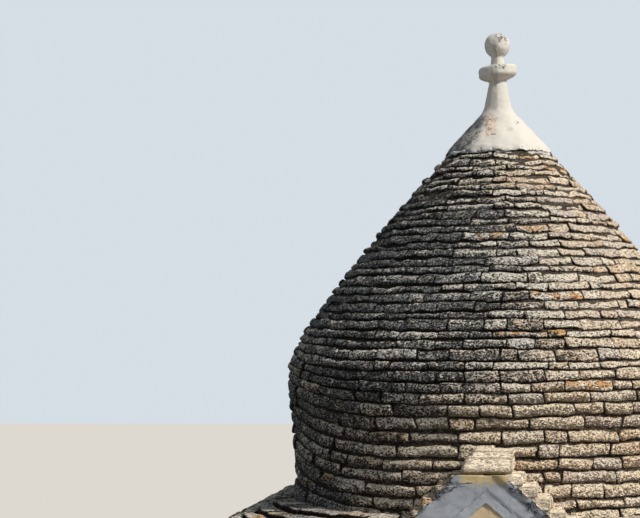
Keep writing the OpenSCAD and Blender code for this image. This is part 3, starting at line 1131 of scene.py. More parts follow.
@dataclass(frozen=True)
class StoneFinish:
    """Weathered limestone, from cream to brown, with pits, lichen and ochre patches.

    It also has painted shade on the side away from the sun and painted highlights on its bumps.
    """

    name: str
    pale: Colour
    middle: Colour
    deep: Colour
    # The crust's colour on the sunny side.
    sunny_crust: Colour = paint(66, 44, 26)
    # The crust's near-black colour on the shaded side: painted shade.
    lichen: Colour = paint(12, 13, 16)
    # Grey of the crust, which is also the painted highlight on its bumps.
    ash: Colour = paint(146, 145, 138)
    # Pale lichen bloom, also the colour of the painted highlights on the tips.
    bloom: Colour = paint(255, 242, 220)
    cool: Colour = paint(212, 198, 192)
    shadow: Colour = (0.80, 0.90, 1.04)
    ochre: Colour = paint(226, 158, 84)
    wash: Colour = paint(238, 236, 230)
    grain: float = 0.036
    pitted: float = 0.74
    specks: float = 0.0
    # How far the dark spreads on the side away from the sun: partly lichen, partly painted shade.
    weathered_and_shaded: float = 0.80
    ochre_share: float = 0.8
    bump: float = 0.045
    drawn: float = 1.35
    marked: bool = True

    # The most that each coat covers.
    DUST = 0.20
    PALE_PATCHES = 0.45
    TIPS = 0.65
    CRUST_AND_SHADE = 0.92
    JOINT_SHADE = 0.88
    SHADE = 0.9

    def material(self, effects: Effects) -> Material:
        """Builds the finish's material.

        Args:
            effects: the shared node groups.

        Returns:
            The material.
        """
        material, bench, shader = new_material(self.name, 0.92)
        coordinates = bench.add("ShaderNodeTexCoord", {}).outputs
        place = coordinates["Object"]
        facing = bench.add("ShaderNodeSeparateXYZ", {0: coordinates["Normal"]}).outputs[2]
        under, upper = bench.between(facing, 0.35, -0.55), bench.between(facing, 0.30, 0.85)
        layers = bench.stretched(place, (1.0, 1.0, self.drawn))
        grain = bench.group(effects.grain, {"Place": layers, "Size": self.grain, "Under": under}).outputs
        cloud = grain["Cloud"]
        tone, warm, air, wash = bench.read_marks() if self.marked else (cloud, cloud, 1.0, 0.0)
        shade = bench.group(effects.weather, {"Place": place}).outputs["Shade"]
        # The crust spreads on the side away from the sun: partly lichen, partly painted shade.
        spread = bench.plus(bench.times(shade, self.weathered_and_shaded), self.specks)
        spread = bench.plus(spread, bench.minus(bench.weighed((tone, -0.30), (cloud, 0.9)), 0.30))
        # Painted shade and highlight: more crust where the face looks down, less where it looks up.
        spread = bench.plus(spread, bench.weighed((under, 0.16), (upper, -0.22)))
        growth = {"Place": layers, "Lumps": grain["Lumps"], "Size": self.grain * 0.8, "Spread": spread}
        lichen = bench.group(effects.lichen, growth).outputs
        colour = self.bare_colour(bench, grain, lichen, tone, warm)
        # Painted shade: the crust is brown on the sunny side and near black on the shaded side.
        crust = bench.blend(lichen["Grey"], bench.blend(shade, self.sunny_crust, self.lichen), self.ash)
        colour = bench.coat(colour, crust, lichen["Black"], self.CRUST_AND_SHADE)
        if self.marked:
            cover = bench.times(bench.ragged(wash, cloud, 0.9, 0.42, 0.6), bench.between(wash, 0.02, 0.1))
            colour = bench.blend(cover, colour, self.wash)
            # Painted shade: darker where the face turns into its joints, corners and back.
            shut = bench.minus(1.0, bench.between(air, 0.0, 0.75))
            colour = bench.coat(colour, self.deep, shut, self.JOINT_SHADE)
        # Painted shade: the side away from the sun is tinted cooler and darker.
        colour = bench.blend(bench.times(shade, self.SHADE), colour, self.shadow, "MULTIPLY")
        bench.feed(shader.inputs["Base Color"], colour)
        bench.emboss(shader, bench.minus(grain["Height"], bench.times(lichen["Black"], 0.35)), self.bump)
        bench.feed(shader.inputs["Roughness"], bench.between(grain["Grain"], 0.3, 0.7, 0.98, 0.84))
        return material

    def bare_colour(
        self, bench: NodeBench, grain: object, lichen: object, tone: object, warm: object
    ) -> Socket:
        """Builds the stone's colour below its crust: dust in hollows, bloom, painted highlights on the tips,
        ochre, and pits that crowd as painted shade where it faces down.

        Args:
            bench: the material's bench.
            grain: the grain group's outputs.
            lichen: the lichen group's outputs.
            tone: the stone's tone, 0 to 1.
            warm: the stone's warmth, 0 to 1.

        Returns:
            Socket with the colour.
        """
        mixed = bench.weighed((tone, 0.55), (grain["Cloud"], 0.8))
        colour = bench.blend(bench.between(mixed, 0.25, 0.95), self.middle, self.pale)
        colour = bench.blend(bench.between(warm, 0.45, 0.0, 0.0, 0.6), colour, self.cool)
        fine = bench.between(grain["Grain"], 0.38, 0.62)
        colour = bench.coat(colour, self.deep, bench.minus(1.0, fine), self.DUST)
        colour = bench.coat(colour, self.bloom, lichen["Pale"], self.PALE_PATCHES)
        # Painted highlight: the bloom colour on the relief's tips.
        colour = bench.coat(colour, self.bloom, grain["Tips"], self.TIPS)
        rusty = bench.times(bench.between(warm, 0.92, 0.97), lichen["Ochre"])
        colour = bench.blend(bench.times(rusty, self.ochre_share, clamp=True), colour, self.ochre)
        # Pits, crowded on down-facing faces as painted shade.
        return bench.coat(colour, self.deep, grain["Pits"], self.pitted)


@dataclass(frozen=True)
class PlasterFinish:
    """Lime plaster brushed with limewash, worn, streaked and grown over at its edges."""

    name: str
    white: Colour
    shade: Colour
    under: Colour
    # Colour of lichen, and of the painted shade where openness is low.
    growth: Colour = paint(88, 86, 84)
    stain: Colour = paint(206, 176, 140)
    wear: float = 0.15
    streaks: float = 0.25
    bump: float = 0.006

    # The most that each coat covers.
    WORN = 0.7
    GROWN = 0.85
    THIN_GROWTH = 0.8
    SHADE_FILM = 0.6

    def material(self, effects: Effects) -> Material:
        """Builds the finish's material.

        Its marks are lichen, bare or stained ground, and openness, from 0 to 1; low openness is painted
        shade.

        Args:
            effects: the shared node groups.

        Returns:
            The material.
        """
        material, bench, shader = new_material(self.name, 0.85)
        place = bench.add("ShaderNodeTexCoord", {}).outputs["Object"]
        wash = bench.group(effects.limewash, {"Place": place, "Wear": self.wear}).outputs
        cloud = wash["Cloud"]
        lichen = bench.group(effects.lichen, {"Place": place, "Lumps": cloud, "Size": 0.016}).outputs
        grown, stained, air, _ = bench.read_marks()
        colour = bench.blend(bench.between(cloud, 0.35, 0.65), self.shade, self.white)
        colour = bench.coat(colour, self.under, wash["Streak"], self.streaks)
        colour = bench.coat(colour, self.under, wash["Worn"], self.WORN)
        specks = bench.noise(place, 0.038, detail=5.0, rough=0.7, warp=1.0)
        bare = bench.times(bench.ragged(stained, specks, 1.2, 0.3, 0.7), bench.between(stained, 0.02, 0.2))
        colour = bench.blend(bare, colour, self.stain)
        dark = bench.times(bench.ragged(grown, specks, 2.4, 0.47, 0.58), bench.between(grown, 0.02, 0.2))
        colour = bench.coat(colour, self.growth, dark, self.GROWN)
        thin = bench.times(lichen["Black"], bench.between(grown, 0.1, 0.6))
        colour = bench.coat(colour, self.growth, thin, self.THIN_GROWTH)
        # Painted shade where the openness mark is low.
        shut = bench.minus(1.0, bench.between(air, 0.0, 0.9))
        colour = bench.coat(colour, self.growth, shut, self.SHADE_FILM)
        bench.feed(shader.inputs["Base Color"], colour)
        relief = bench.plus(wash["Height"], bench.times(dark, -0.3))
        relief = bench.plus(relief, bench.times(bench.times(specks, 0.8), grown))
        bench.emboss(shader, relief, self.bump)
        bench.feed(shader.inputs["Roughness"], bench.between(cloud, 0.3, 0.7, 0.95, 0.78))
        return material


# The house's parts


@dataclass(frozen=True)
class JointWander:
    """How far the joints between courses rise and dip on their way round, and climb on the left side."""

    swing: float = 0.008
    ripple: float = 0.004
    climb: float = 0.0

    def __call__(self, turn: Values, level: float) -> Values:
        """Shift of the joint at a level, at each turn.

        Args:
            turn: angles round the house.
            level: the joint's height.

        Returns:
            How far the joint lies above its level.
        """
        random = np.random.default_rng(int(round(level * 1000)) + 5000)
        shift = np.zeros_like(turn)
        for waves, height in ((2, self.swing), (5, 0.6 * self.swing), (13, self.ripple), (29, self.ripple)):
            shift += height * np.sin(waves * turn + random.uniform(0, TURN))
        left = np.degrees(np.mod(-turn, TURN))
        bank = soft_step(left, 30.0, 90.0) * soft_drop(left, 110.0, 170.0)
        share = (0.5 + 0.5 * soft_step(level, 1.95, 2.25)) * soft_drop(level, 2.7, 4.1)
        return shift + self.climb * bank * share


@dataclass(frozen=True)
class CourseLevels:
    """The joints between the courses of round CAD nodes, and the wall that their faces lie on."""

    joints: Values
    wall: RoundWall
    MARGIN = 0.12
    DIP = 0.004

    @classmethod
    def read(cls, *names: str) -> CourseLevels:
        """Reads the courses from the nodes' points.

        Args:
            names: the nodes, from the lowest up.

        Returns:
            The courses of all the nodes.
        """
        radius, level = node_profile(*names)
        heights = np.unique(level)
        widest = np.array([radius[level == height].max() for height in heights])
        ends = np.unique([round(corner.z, 3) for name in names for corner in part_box(name)])
        guide = np.interp(heights, ends, widest[np.searchsorted(heights, ends)])
        outside = widest > guide - cls.MARGIN
        heights, widest = heights[outside], widest[outside]
        face = np.array([
            radius[(level == height) & (radius > wide - cls.MARGIN / 2)].min()
            for height, wide in zip(heights, widest)
        ])
        dips = (face[1:-1] < face[:-2] - cls.DIP) & (face[1:-1] < face[2:] - cls.DIP)
        joint = np.flatnonzero(np.r_[True, dips, True])
        tops = joint[1:] - 1
        run = np.interp(heights[-1], heights[tops[-2:]], face[tops[-2:]])
        slope = np.diff(face[tops[-2:]]) / np.diff(heights[tops[-2:]])
        run += (heights[-1] - heights[tops[-1]]) * float(slope[0])
        wall = RoundWall(
            np.r_[heights[0], heights[tops], heights[-1]],
            np.r_[face[1], face[tops], run],
        )
        return cls(heights[joint], wall)


@dataclass
class RoundCourses:
    """The drum's and the roof's courses: hand-laid stones with open joints round a dark recessed core, which
    paints the shade in the joints.
    """

    name: str
    nodes: tuple[str, ...]
    cut: StoneCut
    seed: int
    levels: CourseLevels
    start: float = 0.0
    wander: JointWander = field(default_factory=JointWander)
    wash: Rule = no_wash
    RECESS = 0.042
    CORE = 0.10

    def build(self, finish: Material) -> None:
        """Builds one piece for each node, over that node's courses.

        Args:
            finish: the stones' material.
        """
        wall = self.levels.wall
        for number, node in enumerate(self.nodes):
            low, high = (corner.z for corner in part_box(node))
            joints = self.levels.joints
            joints = joints[(joints > low - STEP) & (joints < high + STEP)]
            layer = CourseLayer(wall, self.cut, self.seed + number, self.wander, self.wash)
            laid = 0
            for bottom, top in zip(joints[:-1], joints[1:]):
                if top > self.start:
                    laid += layer.lay(bottom, top, float(wall.radius((bottom + top) / 2)))
            outer = [(float(wall.radius(z)) - self.RECESS, float(z)) for z in joints]
            inner = [(radius - self.CORE, z) for radius, z in reversed(outer)]
            add_ring(layer.sheet, np.array(outer + inner))
            piece = set_down(layer.sheet, f"{self.name}_{number + 1}", finish, Slot.DRY_STONE, node)
            LOG.info("%s: %d stones", piece.name, laid)


def place_piece(piece: Piece, finish: Material, slot: Slot, *nodes: str) -> None:
    """Dresses a piece and rides it on the house, in the place of its nodes.

    Args:
        piece: the object.
        finish: its material.
        slot: its slot in the record; not used.
        nodes: the nodes that it stands for.
    """
    dress(finish, piece)
    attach(piece, BODY)
    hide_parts(*nodes)


def set_down(sheet: MeshSheet, name: str, finish: Material, slot: Slot, *nodes: str) -> Piece:
    """Makes the piece on a sheet and puts it in the place of its nodes.

    Args:
        sheet: the piece's points and faces.
        name: its name.
        finish: its material.
        slot: its slot in the record.
        nodes: the nodes that it stands for.

    Returns:
        The piece.
    """
    piece = sheet.build(name)
    place_piece(piece, finish, slot, *nodes)
    return piece


@dataclass(frozen=True)
class GableShape:
    """Sizes of the gable, read from the model."""

    low: Vector
    high: Vector
    top_half: float
    front: float
    drum: float
    steps: tuple[tuple[float, float, float], ...]

    @classmethod
    def read(cls) -> GableShape:
        """Reads the plaster's slopes, and the bottom, top and reach of each step of their covering.

        Returns:
            The gable's sizes.
        """
        low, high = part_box("gable_wall")
        points = node_points("gable_wall")
        top_half = float(np.abs(points[points[:, 2] > high.z - STEP][:, 0]).max())
        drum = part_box("drum_courses_lower")[1].x
        shape = cls(low, high, top_half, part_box("gable_crest_stone")[0].y, drum, ())
        points = node_points("gable_roof_right")
        points = points[points[:, 0] > shape.edge(points[:, 2]) + 0.03]
        heights = np.round(points[:, 2], 3)
        levels = np.unique(heights)
        outer = [float(points[heights == level][:, 0].min()) for level in levels]
        outer[0] = float(points[heights == levels[0]][:, 0].max())
        steps = tuple((float(a), float(b), out) for a, b, out in zip(levels[:-1], levels[1:], outer))
        return cls(low, high, top_half, shape.front, drum, steps)

    def edge(self, height: Values | float) -> Values:
        """Half the plaster's width at a height."""
        share = (height - self.low.z) / (self.high.z - self.low.z)
        return self.high.x * (1 - share) + self.top_half * share

    def outer(self, height: Values | float) -> Values:
        """Half the covering's width at a height."""
        tops = np.array([top for _, top, _ in self.steps])
        outs = np.array([out for _, _, out in self.steps])
        return outs[np.minimum(np.searchsorted(tops, height), len(outs) - 1)]


@dataclass
class SkirtRoof:
    """The stone skirt that sheds rain off the walls: an edge course and rows of slabs up to the drum."""

    edge_cut: StoneCut
    row_cut: StoneCut
    gable: GableShape
    seed: int
    wander: JointWander = field(default_factory=lambda: JointWander(0.003, 0.002))
    row_wander: JointWander = field(default_factory=lambda: JointWander(0.05, 0.03))
    RECESS = 0.045
    # Marks of the dark core, which paints the shade between the slabs.
    CORE_MARKS = (0.4, 0.4, 0.0, 0.0)
    QUARTERS = {
        "skirt_back_right": 0.25, "skirt_back_left": 0.5, "skirt_front_left": 0.75, "skirt_front_right": 0.0
    }

    def build(self, finish: Material) -> None:
        """Builds the four quarters.

        Args:
            finish: the stones' material.
        """
        slope = SkirtSlope.read()
        for node, first in self.QUARTERS.items():
            sheet = MeshSheet()
            laid = self.lay_course(sheet, slope, node, first, None)
            for step in range(len(slope.levels)):
                laid += self.lay_course(sheet, slope, node, first, step)
            self.add_core(sheet, slope, first, first + 0.25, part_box(node)[0].z)
            piece = set_down(sheet, node.replace("skirt", "skirt_stones"), finish, Slot.DRY_STONE, node)
            LOG.info("%s: %d stones", piece.name, laid)

    def lay_course(
        self, sheet: MeshSheet, slope: SkirtSlope, node: str, first: float, step: int | None
    ) -> int:
        """Lays the stones of one course that fall in a quarter.

        Args:
            sheet: takes the mesh.
            slope: the skirt's slope.
            node: the quarter's node.
            first: where the quarter starts, as a share of a turn.
            step: the course's number from the outer edge, or None for the upright edge course.

        Returns:
            How many stones were laid.
        """
        at = 0.0 if step is None else step + 0.5
        limit = float(self.gable.outer(slope.levels[0 if step is None else step] - 0.01))
        side = 1.0 if node.endswith("right") else -1.0

        def inside(turn: Values) -> Values:
            """Whether a stone with its centre there belongs to this quarter."""
            spot = slope.spot(turn, at)
            turn = np.mod(turn, TURN)
            free = (spot[..., 1] > 0) | (np.abs(spot[..., 0]) > limit + 0.05)
            return (turn >= first * TURN) & (turn < (first + 0.25) * TURN) & free

        def beside_gable(points: Points) -> Points:
            """Cuts stones off where the gable's covering starts."""
            under = (points[..., 1] < 0) & (side * points[..., 0] < limit)
            points[..., 0] = np.where(under, side * (limit + 0.005), points[..., 0])
            points[..., :2] = np.clip(points[..., :2], 0.001 - slope.halves[0], slope.halves[0] - 0.001)
            return points

        reach = float(slope.run_along(at)[-1]) / TURN
        settings = {"keep": inside, "trim": beside_gable, "sheet": sheet}
        if step is None:
            layer = CourseLayer(SkirtEdge(slope), self.edge_cut, self.seed, self.wander, **settings)
            return layer.lay(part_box(node)[0].z + 0.004, slope.levels[0] - 0.004, reach)
        layer = CourseLayer(slope, self.row_cut, self.seed + 1, self.row_wander, **settings)
        rise = math.hypot(slope.halves[step] - slope.halves[step + 1], 0.035)
        return layer.lay(step, step + 1, reach, rise * 1.06)

    def add_core(self, sheet: MeshSheet, slope: SkirtSlope, first: float, last: float, base: float) -> None:
        """Adds the dark core below the slabs, which paints the shade between them.

        Args:
            sheet: takes the mesh.
            slope: the skirt's slope.
            first: where the quarter starts, as a share of a turn.
            last: where it ends.
            base: height of the skirt's underside.
        """
        bearing = slope.bearing(np.linspace(first, last - 1e-6, 61) * TURN)
        side = 1.0 if np.sin(bearing[30]) > 0 else -1.0
        rows = []
        for step in range(len(slope.levels) + 1):
            level = float(slope.height(step))
            reach = slope.reach(bearing, step, 0.0 if step else self.RECESS)
            row = around(bearing, reach, level - self.RECESS)
            limit = float(self.gable.outer(level)) + 0.01
            row[:, 0] = np.where((row[:, 1] < 0) & (side * row[:, 0] < limit), side * limit, row[:, 0])
            rows.append(row)
        for number in (-1, 0):
            rows.append(rows[number] * [1, 1, 0] + [0, 0, base + 0.004])
        ring = np.array(rows)
        count, turns = ring.shape[:2]
        quads = grid_faces(count + 1, turns) % (count * turns)
        ends = [np.arange(count) * turns, (np.arange(count) * turns + turns - 1)[::-1]]
        sheet.add(ring, [quads[:, ::-1], np.array(ends)], self.CORE_MARKS)


def reshaped(
    name: str, source: str, voxel: float, move: Callable[[Points, Points], Points], marks: Rule
) -> Piece:
    """Copies a CAD node's mesh into a new object of even small faces, moves its points and marks them.

    Args:
        name: the new object's name.
        source: the node.
        voxel: size of the new faces.
        move: takes points and their normals, and returns where they go.
        marks: takes points, and returns their marks, shape (n, 4).

    Returns:
        The new object.
    """
    copy = new_object(name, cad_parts[source].data.copy())
    copy.data.materials.clear()
    modifier = copy.modifiers.new("even", "REMESH")
    modifier.mode = "VOXEL"
    modifier.voxel_size = voxel
    modifier.use_smooth_shade = True
    graph = bpy.context.evaluated_depsgraph_get()
    mesh = bpy.data.meshes.new_from_object(copy.evaluated_get(graph))
    copy.modifiers.clear()
    copy.data = mesh
    moved = move(read_rows(mesh.vertices, "co"), read_rows(mesh.vertex_normals, "vector"))
    mesh.vertices.foreach_set("co", moved.astype(np.float32).ravel())
    write_marks(mesh, marks(moved))
    mesh.update()
    return copy


@dataclass
class Gable:
    """The gable over the doorway: plastered wall, stepped coping, crest stones and pointed panel."""

    shape: GableShape
    voxel: float = 0.018
    hood_voxel: float = 0.010
    panel_voxel: float = 0.012
    joint: float = 0.006
    seed: int = 40
    PANEL_MARKS = (0.1, 0.2, 1.0, 0.0)
    SET_BACK = {Side.LEFT: (0.018, 0.026), Side.RIGHT: (0.002, 0.010)}
    # Painted shade and light: the left slope's stones get dark tones, the right slope's pale ones.
    TONE = {Side.LEFT: (0.0, 0.3), Side.RIGHT: (0.8, 1.0)}

    def wall_marks(self, points: Points) -> Values:
        """Dark growth along the ragged edges, most of it on the right, a yellow band under the crest that
        paints warm light reflected from it, and painted shadow along the raised band's edge.

        Args:
            points: places on the plaster.

        Returns:
            Their marks, shape (n, 4).
        """
        inside = self.shape.edge(points[:, 2]) - np.abs(points[:, 0])
        right = points[:, 0] > 0
        drawn = points * [0.6, 1.0, 1.7]
        ragged = inside + 0.09 * roughness(drawn, 0.08, self.seed)
        patches = soft_step(roughness(drawn, 0.07, self.seed + 2) + 0.3 * right, -0.30, 0.15)
        reach = np.where(right, 0.25, 0.15)
        grown = soft_drop(ragged, reach - 0.14, reach) * patches * np.where(right, 0.56, 0.54)
        under = self.shape.high.z - points[:, 2] + 0.015 * roughness(points, 0.07, self.seed)
        wide = np.abs(points[:, 0]) + 0.03 * roughness(points, 0.07, self.seed + 1)
        # Painted reflection: a warm yellow band of light from the crest, fading below it.
        band = soft_drop(under, 0.05, 0.10) * soft_drop(wide, 0.20, 0.27)
        band = np.maximum(band, 0.5 * soft_drop(under, 0.08, 0.26) * soft_drop(wide, 0.16, 0.32))
        foot = np.exp(-(((under - 0.078) / 0.007) ** 2)) * (wide < 0.25)
        foot = foot * (roughness(drawn, 0.09, self.seed + 4) > 0.1)
        grown = np.maximum(grown * (1 - band), 0.7 * foot)
        # The openness column holds the painted shadow along the raised band.
        return np.column_stack([grown, band * 0.8, 1.0 - self.hood_edge_shadow(points), 0 * band])

    def panel_marks(self, points: Points) -> Values:
        """The same faint stain all over the panel."""
        return np.tile(self.PANEL_MARKS, (len(points), 1))

    def inside_hood(self, points: Points) -> Values:
        """Distance in from the raised band's sloping outer edge."""
        low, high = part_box("doorway_hood")
        slope = (high.z - low.z) / high.x
        return (high.z - points[:, 2] - slope * np.abs(points[:, 0])) / math.hypot(1.0, slope)

    def hood_edge_shadow(self, points: Points) -> Values:
        """Painted shadow along the raised band's outer edge, most of it on the right."""
        line = self.inside_hood(points) + 0.008 * roughness(points, 0.07, self.seed + 12)
        near = np.exp(-((line / 0.020) ** 2)) * (points[:, 2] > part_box("doorway_hood")[0].z)
        return near * np.where(points[:, 0] > 0, 0.85, 0.15)

    def build(self, plaster: Material, ochre: Material, coping: Material, crest: Material) -> None:
        """Builds the gable's pieces.

        Args:
            plaster: finish of the wall and the raised band.
            ochre: finish of the pointed panel.
            coping: finish of the stones on the left slope.
            crest: finish of the stones on the top and on the right slope.
        """
        wall = reshaped("gable_plaster", "gable_wall", self.voxel, self.rough_plaster, self.wall_marks)
        smear = self.build_smear()
        with bpy.context.temp_override(active_object=wall, selected_editable_objects=[wall, smear]):
            bpy.ops.object.join()
        place_piece(wall, plaster, Slot.GABLE_PLASTER, "gable_wall")
        hood = reshaped("plaster_hood", "doorway_hood", self.hood_voxel, self.rough_band, self.wall_marks)
        place_piece(hood, plaster, Slot.GABLE_PLASTER, "doorway_hood")
        panel = reshaped("ochre_panel", "doorway_panel", self.panel_voxel, self.panel_face, self.panel_marks)
        place_piece(panel, ochre, Slot.OCHRE_STONE, "doorway_panel")
        # Painted shade and light: the left slope gets the darker dry stone, the right slope the pale crest
        # stone.
        self.build_coping(Side.LEFT, coping)
        self.build_coping(Side.RIGHT, crest)
        self.build_crest(crest)
        LOG.info("gable: wall, hood, panel, two copings and crest")

    def rough_plaster(self, points: Points, normals: Points) -> Points:
        """Hand-smoothed plaster: low lumps and small trowel marks, never in front of the model's face."""
        shift = 0.009 * roughness(points, 0.18, self.seed) + 0.003 * lumps(points, 0.035, self.seed + 3)
        return points + normals * (shift - 0.008)[:, None]

    def panel_face(self, points: Points, normals: Points) -> Points:
        """The pointed panel, whose plastered face bulges towards the gable's.

        Args:
            points: places on the smooth mesh.
            normals: its directions there.

        Returns:
            Where the points go.
        """
        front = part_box("doorway_panel")[0].y
        moved = self.rough_plaster(points, normals)
        moved[:, 1] -= 0.045 * soft_drop(points[:, 1] - front, 0.030, 0.055)
        moved[:, 0] *= 1.03
        moved[:, 2] += 0.030 * soft_step(points[:, 2], self.shape.low.z + 0.02, self.shape.low.z + 0.12)
        return moved

    def rough_band(self, points: Points, normals: Points) -> Points:
        """The raised band over the panel: its back stays, and its face sinks towards its outer edge.

        Args:
            points: places on the smooth mesh.
            normals: its directions there.

        Returns:
            Where the points go.
        """
        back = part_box("doorway_hood")[1].y
        moved = self.rough_plaster(points, normals)
        ragged = self.inside_hood(points) + 0.01 * roughness(points, 0.08, self.seed + 12)
        sunk = 0.018 + 0.005 * soft_drop(ragged, 0.0, 0.06)
        moved[:, 1] += sunk * soft_step(back - points[:, 1], 0.004, 0.02)
        return moved

    def build_smear(self) -> Piece:
        """Builds the plaster smeared over the coping's front, further out on the left than on the right.

        Returns:
            The smear, to be joined to the wall.
        """
        shape = self.shape
        levels = np.linspace(shape.low.z + 0.004, shape.high.z - 0.004, 100)
        shares = np.array([0.0, 0.15, 0.3, 0.45, 0.6, 0.75, 0.87, 0.95, 1.0])
        sheet = MeshSheet()
        for side in Side:
            spots = np.column_stack([np.full(len(levels), 3.0 * side.value), 0 * levels, levels])
            ragged = 0.9 * roughness(spots, 0.11, self.seed + 20)
            ragged = ragged + 0.25 * roughness(spots, 0.03, self.seed + 21)
            wide = 0.070 + 0.075 * ragged if side is Side.LEFT else 0.026 + 0.030 * ragged
            edge = shape.edge(levels)
            most = shape.outer(levels) - 0.022 - 0.012 * np.abs(ragged)
            outer = np.minimum(edge + np.maximum(wide, 0.004), most)
            inner = np.maximum(edge - 0.17, 0.02)
            x = side.value * (inner[:, None] + (outer - inner)[:, None] * shares)
            level = np.repeat(levels[:, None], len(shares), axis=1)
            flat = np.stack([x, np.full_like(x, shape.front), level], axis=-1)
            y = shape.front + 0.007 + 0.004 * roughness(flat, 0.05, self.seed + 22)
            y = np.maximum(y, shape.front + 0.001) + 0.014 * soft_step(shares, 0.7, 1.0)
            y = y + 0.030 * soft_drop(shares, 0.0, 0.6)
            face = np.stack([x, y, level], axis=-1)
            back = np.stack([x[:, ::-1], np.full_like(x, shape.front + 0.045), level], axis=-1)
            ring = np.concatenate([face, back], axis=1)
            rows, columns = ring.shape[:2]
            quads = grid_faces(rows, columns, wrap=True)
            lids = np.array([np.arange(columns)[::-1], (rows - 1) * columns + np.arange(columns)])
            if side is Side.LEFT:
                quads, lids = quads[:, ::-1], lids[:, ::-1]
            ring = ring.reshape(-1, 3)
            marks = self.wall_marks(ring)
            tip = np.tile(np.concatenate([shares, shares[::-1]]), rows)
            noise = roughness(ring, 0.04, self.seed + 23)
            marks[:, 0] = np.maximum(marks[:, 0], 0.5 * soft_step(tip + 0.4 * noise, 0.75, 1.0))
            sheet.add(ring, [quads, lids], marks)
        return sheet.build("plaster_smear")

    def build_coping(self, side: Side, finish: Material) -> None:
        """Builds one slope of rounded rough stones, one to a step, back to the drum.

        Args:
            side: the slope's side.
            finish: the stones' material.
        """
        shape, random = self.shape, np.random.default_rng(self.seed + side.value)
        sheet = MeshSheet()
        count = 0
        for low, high, out in shape.steps:
            depth = -math.sqrt(max(shape.drum**2 - (out - 0.08) ** 2, 1.0)) + 0.05
            y = shape.front
            while y < depth - 0.06:
                length = next_length(depth - y, random.uniform(0.14, 0.28), 0.08)
                first = y == shape.front
                near = float(shape.edge(high)) - (0.015 if first else random.uniform(0.05, 0.12))
                far = out - random.uniform(0.0, 0.030)
                set_back = random.uniform(*self.SET_BACK[side])
                xs = sorted((side.value * near, side.value * far))
                block = Block(
                    (xs[0], y + (set_back if first else 0.0), low + random.uniform(0.0, 0.004)),
                    (xs[1], y + length - self.joint, high - random.uniform(0.0, 0.008)),
                    edge=0.026, rough=0.018, cell=0.025,
                )
                block.add_to(sheet, self.seed + count, random.uniform(*self.TONE[side]), random.uniform())
                if first:
                    points = sheet.points[-1]
                    inner = shape.edge(points[:, 2]) - 0.02
                    points[:, 0] = side.value * np.maximum(side.value * points[:, 0], inner)
                count += 1
                y += length
        name = side.name.lower()
        set_down(sheet, f"gable_coping_{name}", finish, Slot.DRY_STONE, f"gable_roof_{name}")

    def build_crest(self, finish: Material) -> None:
        """Builds the crest: a thick block that leans back, with a thinner slab set back on top of it.

        Args:
            finish: the stones' material.
        """
        low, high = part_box("gable_crest_stone")
        split = low.z + 0.74 * (high.z - low.z)
        sheet = MeshSheet()
        Block(
            (low.x + 0.004, low.y + 0.006, low.z + 0.002), (high.x - 0.006, high.y + 0.05, split),
            edge=0.040, rough=0.007, cell=0.016,
        ).add_to(sheet, self.seed + 90, 1.0, 0.3)
        Block(
            (low.x + 0.040, low.y + 0.050, split - 0.020), (high.x - 0.010, high.y + 0.05, high.z - 0.008),
            edge=0.028, rough=0.006, cell=0.016,
        ).add_to(sheet, self.seed + 91, 0.9, 0.3)
        for points in sheet.points:
            share = (points[:, 2] - low.z) / (high.z - low.z)
            points[:, 0] += 0.085 * share * soft_step(-points[:, 0], 0.02, 0.2)
            points[:, 1] += 0.13 * share * soft_drop(points[:, 1], low.y + 0.05, low.y + 0.25)
            points[:, 1] += 0.03 * soft_drop(points[:, 2], low.z, low.z + 0.06)
        set_down(sheet, "gable_crest_blocks", finish, Slot.PALE_STONE, "gable_crest_stone")


